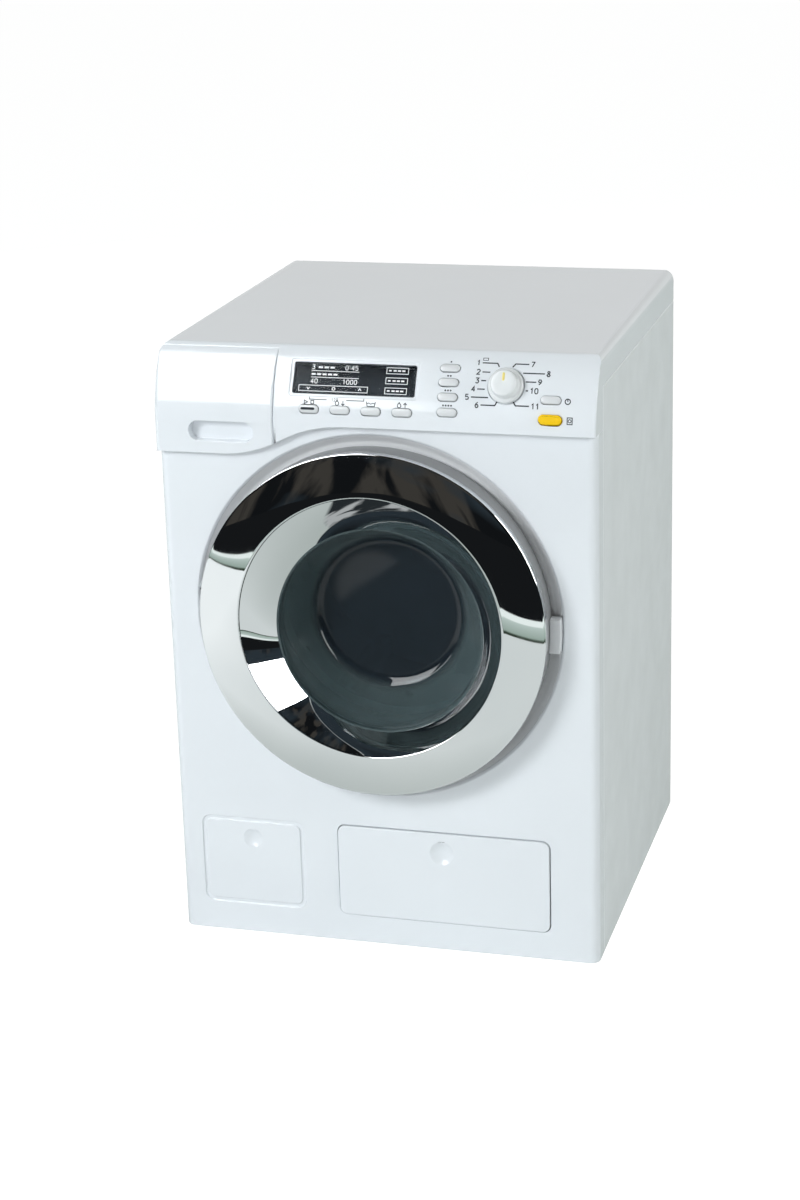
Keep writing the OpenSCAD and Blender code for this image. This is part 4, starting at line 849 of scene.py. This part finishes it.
def stroke(points, width, place, closed=False):
    """Flat printed line of one width along points, as vertices and faces."""
    pts = densify(points + [points[0]] if closed else points)
    if closed:
        pts = pts[:-1]
    n = len(pts)
    verts = []
    for i, (x, v) in enumerate(pts):
        before = pts[i - 1] if i > 0 or closed else pts[i]
        after = pts[(i + 1) % n] if i < n - 1 or closed else pts[i]
        # Directions to and from the point, and the sideways unit vector of each
        a = (x - before[0], v - before[1])
        b = (after[0] - x, after[1] - v)
        la, lb = math.hypot(*a) or 1, math.hypot(*b) or 1
        na, nb = (-a[1] / la, a[0] / la), (-b[1] / lb, b[0] / lb)
        nx, ny = na[0] + nb[0], na[1] + nb[1]
        ln = math.hypot(nx, ny) or 1
        nx, ny = nx / ln, ny / ln
        ref = nb if any(nb) else na
        miter = 1 / max(0.5, nx * ref[0] + ny * ref[1])
        for side in (-1, 1):
            off = side * width / 2 * miter
            verts += place(x + nx * off, v + ny * off)
    faces = []
    for i in range(n if closed else n - 1):
        a, b = 4 * i, 4 * ((i + 1) % n)
        faces += [(a, a + 2, b + 2, b), (a + 1, b + 1, b + 3, a + 3),
                  (a, b, b + 1, a + 1), (a + 2, a + 3, b + 3, b + 2)]
    if not closed:
        e = 4 * (n - 1)
        faces += [(0, 1, 3, 2), (e, e + 2, e + 3, e + 1)]
    return verts, faces


def blot(points, place):
    """Filled flat print inside an outline."""
    tops = [place(x, v) for x, v in points]
    n = len(points)
    verts = [p[0] for p in tops] + [p[1] for p in tops]
    faces = [tuple(range(n)), tuple(reversed(range(n, 2 * n)))]
    faces += [(i, (i + 1) % n, n + (i + 1) % n, n + i) for i in range(n)]
    return verts, faces


class Print:
    """Collects strokes and blots into one piece."""

    def __init__(self, place):
        self.place, self.verts, self.faces = place, [], []

    def add(self, part):
        start = len(self.verts)
        self.verts += part[0]
        self.faces += [tuple(start + i for i in face) for face in part[1]]

    def line(self, points, width=0.5, closed=False):
        self.add(stroke(points, width, self.place, closed))

    def fill(self, points):
        self.add(blot(points, self.place))

    def piece(self, name, material, body, slot):
        return add_mesh(name, self.verts, self.faces, material, body)


# Strokes of each digit in a box one high
DIGITS = {
    "0": [[(0, 0.25), (0, 0.75), (0.15, 1), (0.45, 1), (0.6, 0.75), (0.6, 0.25),
           (0.45, 0), (0.15, 0), (0, 0.25)]],
    "1": [[(0.1, 0.75), (0.35, 1), (0.35, 0)]],
    "2": [[(0, 0.8), (0.15, 1), (0.45, 1), (0.6, 0.8), (0.58, 0.6), (0, 0), (0.62, 0)]],
    "3": [[(0, 1), (0.6, 1), (0.28, 0.6), (0.5, 0.55), (0.6, 0.3), (0.45, 0), (0.12, 0),
           (0, 0.15)]],
    "4": [[(0.45, 0), (0.45, 1), (0, 0.3), (0.65, 0.3)]],
    "5": [[(0.55, 1), (0.05, 1), (0.02, 0.55), (0.4, 0.6), (0.6, 0.35), (0.5, 0.05),
           (0.15, 0), (0, 0.12)]],
    "6": [[(0.5, 1), (0.15, 0.7), (0, 0.3), (0.15, 0), (0.45, 0), (0.6, 0.3), (0.45, 0.55),
           (0.05, 0.45)]],
    "7": [[(0, 1), (0.6, 1), (0.2, 0)]],
    "8": [[(0.3, 0.55), (0.08, 0.75), (0.15, 1), (0.45, 1), (0.52, 0.75), (0.3, 0.55), (0, 0.25),
           (0.15, 0), (0.45, 0), (0.6, 0.25), (0.3, 0.55)]],
    "9": [[(0.1, 0), (0.45, 0.3), (0.6, 0.7), (0.45, 1), (0.15, 1), (0, 0.7), (0.15, 0.45),
           (0.55, 0.55)]],
    ":": [[(0.15, 0.2), (0.15, 0.32)], [(0.15, 0.68), (0.15, 0.8)]],
}


DIGIT_W, DIGIT_PITCH, COLON_PITCH = 0.6, 0.9, 0.5


def number(ink, text, x, v, height, width=0.42):
    """Digits standing on (x, v), the first at x."""
    for letter in text:
        for line in DIGITS[letter]:
            ink.line([(x + px * height, v + pv * height) for px, pv in line], width)
        x += height * (COLON_PITCH if letter == ":" else DIGIT_PITCH)


def rectangle(ink, x0, x1, v0, v1, width):
    ink.line([(x0, v0), (x1, v0), (x1, v1), (x0, v1)], width, True)


DIAL_NUMBER_H = 2.05


def dial_marks(ink):
    """Leader lines round the knob, each ending at a plain number."""
    # (height, far end, near end), and for a bent line the point where it ends
    left = [(9.9, 44.9, 51.0, 51.9, 8.4), (6.0, 45.3, 48.5), (2.4, 45.2, 47.2), (-1.1, 43.9, 47.0),
            (-4.4, 41.6, 48.6), (-7.4, 45.7, 51.5, 52.3, -5.9)]
    right = [(9.9, 63.9, 58.4, 57.3, 8.4), (6.1, 70.7, 61.9), (2.5, 67.6, 63.3), (-1.1, 64.6, 63.6),
             (-7.2, 65.4, 59.9, 58.9, -5.8)]
    for i, line in enumerate(left + right):
        v, far, near = line[:3]
        points = [(far, v), (near, v)]
        if len(line) > 3:
            points.append(line[3:])
        ink.line(points)
        text = str(i + 1)
        span = (len(text) - 1) * DIGIT_PITCH * DIAL_NUMBER_H + DIGIT_W * DIAL_NUMBER_H
        start = far - 1.0 - span if i < len(left) else far + 0.9
        number(ink, text, start, v - DIAL_NUMBER_H / 2, DIAL_NUMBER_H)


SYMBOL_W = 0.32


def fascia_prints():
    """Dial, symbols beside the keys and the slit of the start key."""
    ink = Print(on_fascia)
    dial_marks(ink)
    start_x = ROW_X - 2 * ROW_PITCH
    key_ink = Print(on_start_key)
    key_ink.fill([(start_x + x - 0.3, ROW_V + v) for x, v in oblong_outline(5.9, 0.95, 8)])
    key_ink.piece("start_key_print", MAT["print_ink"], "start_key", "print_ink")
    # Bracket under the display, with a gap for its mark
    for side, inner in ((-25.5, -18.2), (-2.6, -9.9)):
        ink.line([(side, -6.9), (side, -7.75), (inner, -7.8)], 0.3)
    number(ink, "123", -16.2, -8.3, 1.1, 0.16)
    # Start and stop
    ink.line([(start_x - 2.0, -9.6), (start_x - 2.0, -8.2), (start_x - 0.6, -8.9)], SYMBOL_W, True)
    rectangle(ink, start_x + 0.8, start_x + 2.0, -9.5, -8.3, SYMBOL_W)
    # Drop with an arrow down, and one with an arrow up
    for i, drop in ((-1, 1), (1, -1)):
        x = ROW_X + i * ROW_PITCH
        ink.line(arc(x - 1.2, -9.05, 0.75, -220, 40, 14) + [(x - 1.2, -7.75)], SYMBOL_W, True)
        ink.line([(x + 1.3, -9.7), (x + 1.3, -8.0)], SYMBOL_W)
        tip = -9.8 if drop > 0 else -7.9
        barb = tip + 0.7 * drop
        ink.line([(x + 0.6, barb), (x + 1.3, tip), (x + 2.0, barb)], SYMBOL_W)
    # Wash tub with its water
    x = ROW_X
    ink.line([(x - 1.9, -7.9), (x - 1.5, -9.7), (x + 1.5, -9.7), (x + 1.9, -7.9)], SYMBOL_W)
    ink.line([(x - 1.7, -8.7), (x - 0.9, -8.4), (x, -8.8), (x + 0.9, -8.4), (x + 1.7, -8.7)], 0.28)
    # One to four dots over the option keys
    for i, v in enumerate(COLUMN_V):
        for k in range(i + 1):
            ink.fill(arc(COLUMN_X - 0.55 * i + 1.1 * k, v + 2.75, 0.36, 0, 330, 11))
    # Power and door
    ink.line(arc(80.9, POWER_V - 0.3, 1.05, 0, 342, 19), 0.42, True)
    ink.line([(80.9, POWER_V - 0.3), (80.9, POWER_V + 0.75)], 0.42)
    ink.line([(81.0, -13.5), (81.0, -11.0), (83.0, -11.0), (83.0, -13.5)], 0.34, True)
    ink.line(arc(82.0, -12.25, 0.6, 0, 340, 17), 0.3, True)
    # Small outlined mark over the first leader line
    rectangle(ink, 45.0, 47.0, 11.0, 12.0, 0.26)
    ink.piece("fascia_prints", MAT["print_ink"], "housing", "print_ink")


FIGURE_H, FRAME_LINE_W = 1.8, 0.26


def display_prints():
    """Plain figures and bars behind the display's window."""
    ink = Print(on_pane)
    # Two lines, with figures and bars over, between and under them
    left, right = -18.4, 1.8
    for v in (3.0, 0.3):
        ink.line([(left, v), (right, v)], FRAME_LINE_W)
    number(ink, "3", left + 0.2, 3.7, FIGURE_H, 0.3)
    number(ink, "0:45", right - 5.9, 3.7, FIGURE_H, 0.28)
    for k in range(3):
        ink.line([(left + 2.8 + 2.5 * k, 4.5), (left + 4.7 + 2.5 * k, 4.5)], 0.8)
    for k in range(5):
        ink.line([(left + 0.2 + 2.3 * k, 1.6), (left + 1.9 + 2.3 * k, 1.6)], 0.75)
    number(ink, "40", left + 0.2, -2.2, FIGURE_H, 0.28)
    number(ink, "1000", right - 6.6, -2.2, FIGURE_H, 0.28)
    # Bar with an arrow down, a ring and an arrow up
    rectangle(ink, -23.0, 5.9, -5.5, -3.1, FRAME_LINE_W)
    for x, way in ((-19.0, -1), (2.7, 1)):
        foot = -4.3 - 0.45 * way
        ink.line([(x - 0.6, foot), (x, -4.3 + 0.5 * way), (x + 0.6, foot)], SYMBOL_W)
    ink.line(arc(-8.3, -4.3, 0.6, 0, 340, 17), SYMBOL_W, True)
    # Three framed rows at the right
    for v in (4.1, -0.1, -4.3):
        rectangle(ink, 13.2, 22.2, v - 1.25, v + 1.25, FRAME_LINE_W)
        ink.line([(14.1, v), (15.2, v)], 0.6)
        for k in range(3):
            ink.line([(16.0 + 1.8 * k, v), (17.3 + 1.8 * k, v)], 0.6)
    ink.piece("display_figures", MAT["figure_white"], "housing", "panel_white")


fascia_prints()
display_prints()


# ---------- stage ----------

def stage_sheet(name, verts, faces, material, glossy_only=True):
    """Sheet of the studio; one that is glossy_only is met by reflections alone."""
    mesh = bpy.data.meshes.new(name)
    mesh.from_pydata([tuple(v) for v in verts], [], faces)
    mesh.materials.append(material)
    piece = bpy.data.objects.new(name, mesh)
    scene.collection.objects.link(piece)
    if glossy_only:
        piece.visible_camera = False
        piece.visible_diffuse = False
        piece.visible_shadow = False
        piece.visible_transmission = False
    return piece


def blank_material(name):
    material = bpy.data.materials.new(name)
    material.use_nodes = True
    tree = material.node_tree
    tree.nodes.clear()
    return material, tree, tree.nodes.new("ShaderNodeOutputMaterial")


def emitter(name):
    """New material that only glows, with its light node."""
    material, tree, out = blank_material(name)
    light = tree.nodes.new("ShaderNodeEmission")
    tree.links.new(light.outputs["Emission"], out.inputs["Surface"])
    return material, tree, light


def glow(name, colour, strength):
    material, _, light = emitter(name)
    light.inputs["Color"].default_value = (*colour, 1)
    light.inputs["Strength"].default_value = strength
    return material


def vector_math(tree, operation, first, second=None):
    """Vector node; second is another node's output or a value."""
    node = tree.nodes.new("ShaderNodeVectorMath")
    node.operation = operation
    tree.links.new(first, node.inputs[0])
    if isinstance(second, float):
        node.inputs["Scale"].default_value = second
    elif isinstance(second, tuple):
        node.inputs[1].default_value = second
    elif second:
        tree.links.new(second, node.inputs[1])
    return node


def patch(tree, place, centre, size, soft):
    """Mask of an oval on the floor, one inside it and fading to nothing over its rim."""
    oval = tree.nodes.new("ShaderNodeMapping")
    oval.vector_type = "TEXTURE"
    oval.inputs["Location"].default_value = (*centre, 0)
    oval.inputs["Scale"].default_value = (*size, 10)
    tree.links.new(place, oval.inputs["Vector"])
    reach = vector_math(tree, "LENGTH", oval.outputs["Vector"])
    return map_range(tree, reach.outputs["Value"], 1.0, soft)


def mix_shader(tree, fac, first, second):
    node = tree.nodes.new("ShaderNodeMixShader")
    if isinstance(fac, float):
        node.inputs["Fac"].default_value = fac
    else:
        tree.links.new(fac, node.inputs["Fac"])
    tree.links.new(first, node.inputs[1])
    tree.links.new(second, node.inputs[2])
    return node.outputs["Shader"]


# Edge of the white sheet in front of the part, in metres: y = EDGE_Y + EDGE_SLOPE * x
EDGE_Y, EDGE_SLOPE = -0.564, 0.405
EDGE_RISE = 0.036
EDGE_FADE = 0.004


def mirrored_floor(tree):
    """Colour that reflections meet: the white sheet up to its edge, with painted shade on it, and a
    dim floor beyond.
    """
    place = tree.nodes.new("ShaderNodeTexCoord").outputs["Object"]
    across = vector_math(tree, "DOT_PRODUCT", place, (-EDGE_SLOPE, 1.0, 0.0))
    inside = map_range(tree, across.outputs["Value"], EDGE_Y - EDGE_FADE, EDGE_Y)
    # Painted shade on the sheet: darker in front of the part than out to its left, and darker still
    # close to it
    shade_fades_left = map_range(tree, own_axis(tree, "X"), -0.08, -0.34)
    sheet = blend_colour(tree, shade_fades_left, (0.66, 0.71, 0.7), (0.92, 0.97, 0.97))
    shade_near_part = map_range(tree, own_axis(tree, "Y"), -0.12, -0.26, 1.0, 0.0)
    sheet = blend_colour(tree, shade_near_part, sheet, (0.44, 0.49, 0.47))
    # Dim oval, and a ragged patch of painted shade close to the part with pale waves in it, on the
    # sheet; both with wavering rims
    jitter = tree.nodes.new("ShaderNodeTexNoise")
    jitter.inputs["Scale"].default_value = 14.0
    tree.links.new(place, jitter.inputs["Vector"])
    shift = vector_math(tree, "SCALE", jitter.outputs["Color"], 0.03)
    ragged = vector_math(tree, "ADD", place, shift.outputs["Vector"]).outputs["Vector"]
    oval = patch(tree, ragged, (-0.1, -0.47), (0.045, 0.13), 0.85)
    sheet = blend_colour(tree, oval, sheet, (0.2, 0.25, 0.27))
    waves = map_range(tree, noise(tree, 30.0, 3.0, (0.6, 3.0, 1)), 0.52, 0.58)
    dark = blend_colour(tree, waves, (0.02, 0.025, 0.028), (0.42, 0.44, 0.44))
    # Patch of painted shade in front of the part
    shade = patch(tree, ragged, (-0.085, -0.1), (0.085, 0.043), 0.93)
    sheet = blend_colour(tree, shade, sheet, dark)
    return blend_colour(tree, inside, (0.008, 0.009, 0.01), sheet)


def floor_material():
    """Pale floor: near white to the camera with the part's soft shadow, and something
    else to reflections."""
    material, tree, out = blank_material("stage_floor")
    path = tree.nodes.new("ShaderNodeLightPath")
    plain = tree.nodes.new("ShaderNodeBsdfDiffuse")
    plain.inputs["Color"].default_value = (0.86, 0.88, 0.88, 1)
    white = tree.nodes.new("ShaderNodeEmission")
    white.inputs["Color"].default_value = (1, 1, 1, 1)
    white.inputs["Strength"].default_value = 1.19
    mirrored = tree.nodes.new("ShaderNodeEmission")
    tree.links.new(mirrored_floor(tree), mirrored.inputs["Color"])
    diffuse = plain.outputs["BSDF"]
    seen = mix_shader(tree, 0.8, diffuse, white.outputs["Emission"])
    to_camera = mix_shader(tree, path.outputs["Is Camera Ray"], diffuse, seen)
    final = mix_shader(tree, path.outputs["Is Glossy Ray"], to_camera, mirrored.outputs["Emission"])
    tree.links.new(final, out.inputs["Surface"])
    return material


def room_material():
    """Unlit side of the room: near black with dim upright streaks."""
    material, tree, light = emitter("stage_room")
    streaks = map_range(tree, noise(tree, 1.6, 6.0, (2.6, 2.6, 0.3)), 0.5, 0.58)
    patches = map_range(tree, noise(tree, 1.1, 3.0), 0.5, 0.62)
    dim = blend_colour(tree, streaks, (0.006, 0.007, 0.008), (0.043, 0.04, 0.035))
    tree.links.new(blend_colour(tree, patches, dim, (0.024, 0.034, 0.042)), light.inputs["Color"])
    return material


def sheet_edge_material():
    """Curled edge of the white sheet, with painted shade below and a painted highlight at its top:
    dark below, pale, and bright at its top.
    """
    material, tree, light = emitter("stage_edge")
    # Painted shade at the foot of the curl up to a painted highlight at its top
    stops = ((0.09, (0.03, 0.045, 0.03)), (0.17, (0.33, 0.42, 0.37)), (0.45, (0.42, 0.51, 0.47)),
             (0.66, (0.5, 0.6, 0.56)), (0.72, (0.85, 0.93, 0.9)))
    height = map_range(tree, own_axis(tree, "Z"), 0.0, EDGE_RISE)
    tree.links.new(ramp(tree, height, stops), light.inputs["Color"])
    return material


FLOOR_REACH = 4.0
ROOM_R, ROOM_HALF_TURN = 2.6, 112
SOFTBOX = ((0.97, 0.99, 1.0), 8.0)


def stage():
    """Floor, curled edge, unlit room and softboxes; metres."""
    flat = [(0, 1, 2, 3)]
    corners = ((-1, -1), (1, -1), (1, 1), (-1, 1))
    stage_sheet("floor", [(FLOOR_REACH * x, FLOOR_REACH * y, 0) for x, y in corners],
                flat, floor_material(), False)
    ends = [(x, EDGE_Y + EDGE_SLOPE * x) for x in (-2.4, 1.3)]
    stage_sheet("sheet_edge", [(x, y, z) for z in (0, EDGE_RISE) for x, y in ends],
                [(0, 1, 3, 2)], sheet_edge_material())
    # Half dome of the unlit room in front of the part
    turns, rises = 24, 10
    verts, faces = [], []
    for j in range(rises + 1):
        up = math.radians(90 * j / rises)
        for i in range(turns + 1):
            a = math.radians(-ROOM_HALF_TURN + 2 * ROOM_HALF_TURN * i / turns)
            verts.append((ROOM_R * math.sin(a) * math.cos(up), -ROOM_R * math.cos(a) * math.cos(up),
                          ROOM_R * math.sin(up)))
    for j in range(rises):
        for i in range(turns):
            a = j * (turns + 1) + i
            faces.append((a, a + 1, a + turns + 2, a + turns + 1))
    stage_sheet("room", verts, faces, room_material())
    # Softboxes as reflections see them
    left = [(-1.7, -1.68, 0.515), (-0.39, -1.68, 0.515), (-0.39, -0.58, 1.57), (-1.7, -0.58, 1.57)]
    right = [(1.15, -0.75, 0.25), (1.1, 0.05, 0.25), (0.9, 0.2, 0.95), (0.95, -0.6, 0.95)]
    for name, verts in (("softbox_left", left), ("softbox_right", right)):
        stage_sheet(name, verts, flat, glow(name, *SOFTBOX))


def sky():
    """Even soft light, and a plain white background to camera, mirrors and clear pieces."""
    world = bpy.data.worlds.new("world")
    scene.world = world
    world.use_nodes = True
    tree = world.node_tree
    tree.nodes.clear()
    out = tree.nodes.new("ShaderNodeOutputWorld")
    skies = []
    for colour, strength in (((0.95, 1.0, 0.97), 0.22), ((1, 1, 1), 1.0)):
        node = tree.nodes.new("ShaderNodeBackground")
        node.inputs["Color"].default_value = (*colour, 1)
        node.inputs["Strength"].default_value = strength
        skies.append(node.outputs["Background"])
    path = tree.nodes.new("ShaderNodeLightPath")
    plain = path.outputs["Is Camera Ray"]
    for ray in ("Is Glossy Ray", "Is Transmission Ray"):
        either = tree.nodes.new("ShaderNodeMath")
        either.operation = "MAXIMUM"
        tree.links.new(plain, either.inputs[0])
        tree.links.new(path.outputs[ray], either.inputs[1])
        plain = either.outputs["Value"]
    tree.links.new(mix_shader(tree, plain, *skies), out.inputs["Surface"])


LAMP_TARGET_Z = 0.13


def lamp(name, turn, rise, away, size, power, colour):
    """Soft lamp round the part: degrees from the front, degrees up, metres away."""
    a, up = math.radians(turn), math.radians(rise)
    target = Vector((0, 0, LAMP_TARGET_Z))
    place = target + Vector((math.sin(a) * math.cos(up), -math.cos(a) * math.cos(up),
                             math.sin(up))) * away
    data = bpy.data.lights.new(name, "AREA")
    data.shape = "SQUARE"
    data.size = size
    data.energy = power
    data.color = colour
    light = bpy.data.objects.new(name, data)
    light.location = place
    light.rotation_euler = (target - place).to_track_quat("-Z", "Y").to_euler()
    light.visible_glossy = False
    scene.collection.objects.link(light)


stage()
sky()
lamp("key", -35, 28, 1.7, 0.5, 15.0, (0.94, 0.98, 1.0))
lamp("fill", -8, 6, 1.6, 0.9, 5.0, (0.94, 0.98, 1.0))
lamp("side", 80, 22, 1.3, 0.6, 6.2, (0.97, 1.0, 0.98))
lamp("back", 215, 3, 1.6, 0.6, 4.0, (0.97, 1.0, 0.98))

scene.view_settings.view_transform = "Standard"
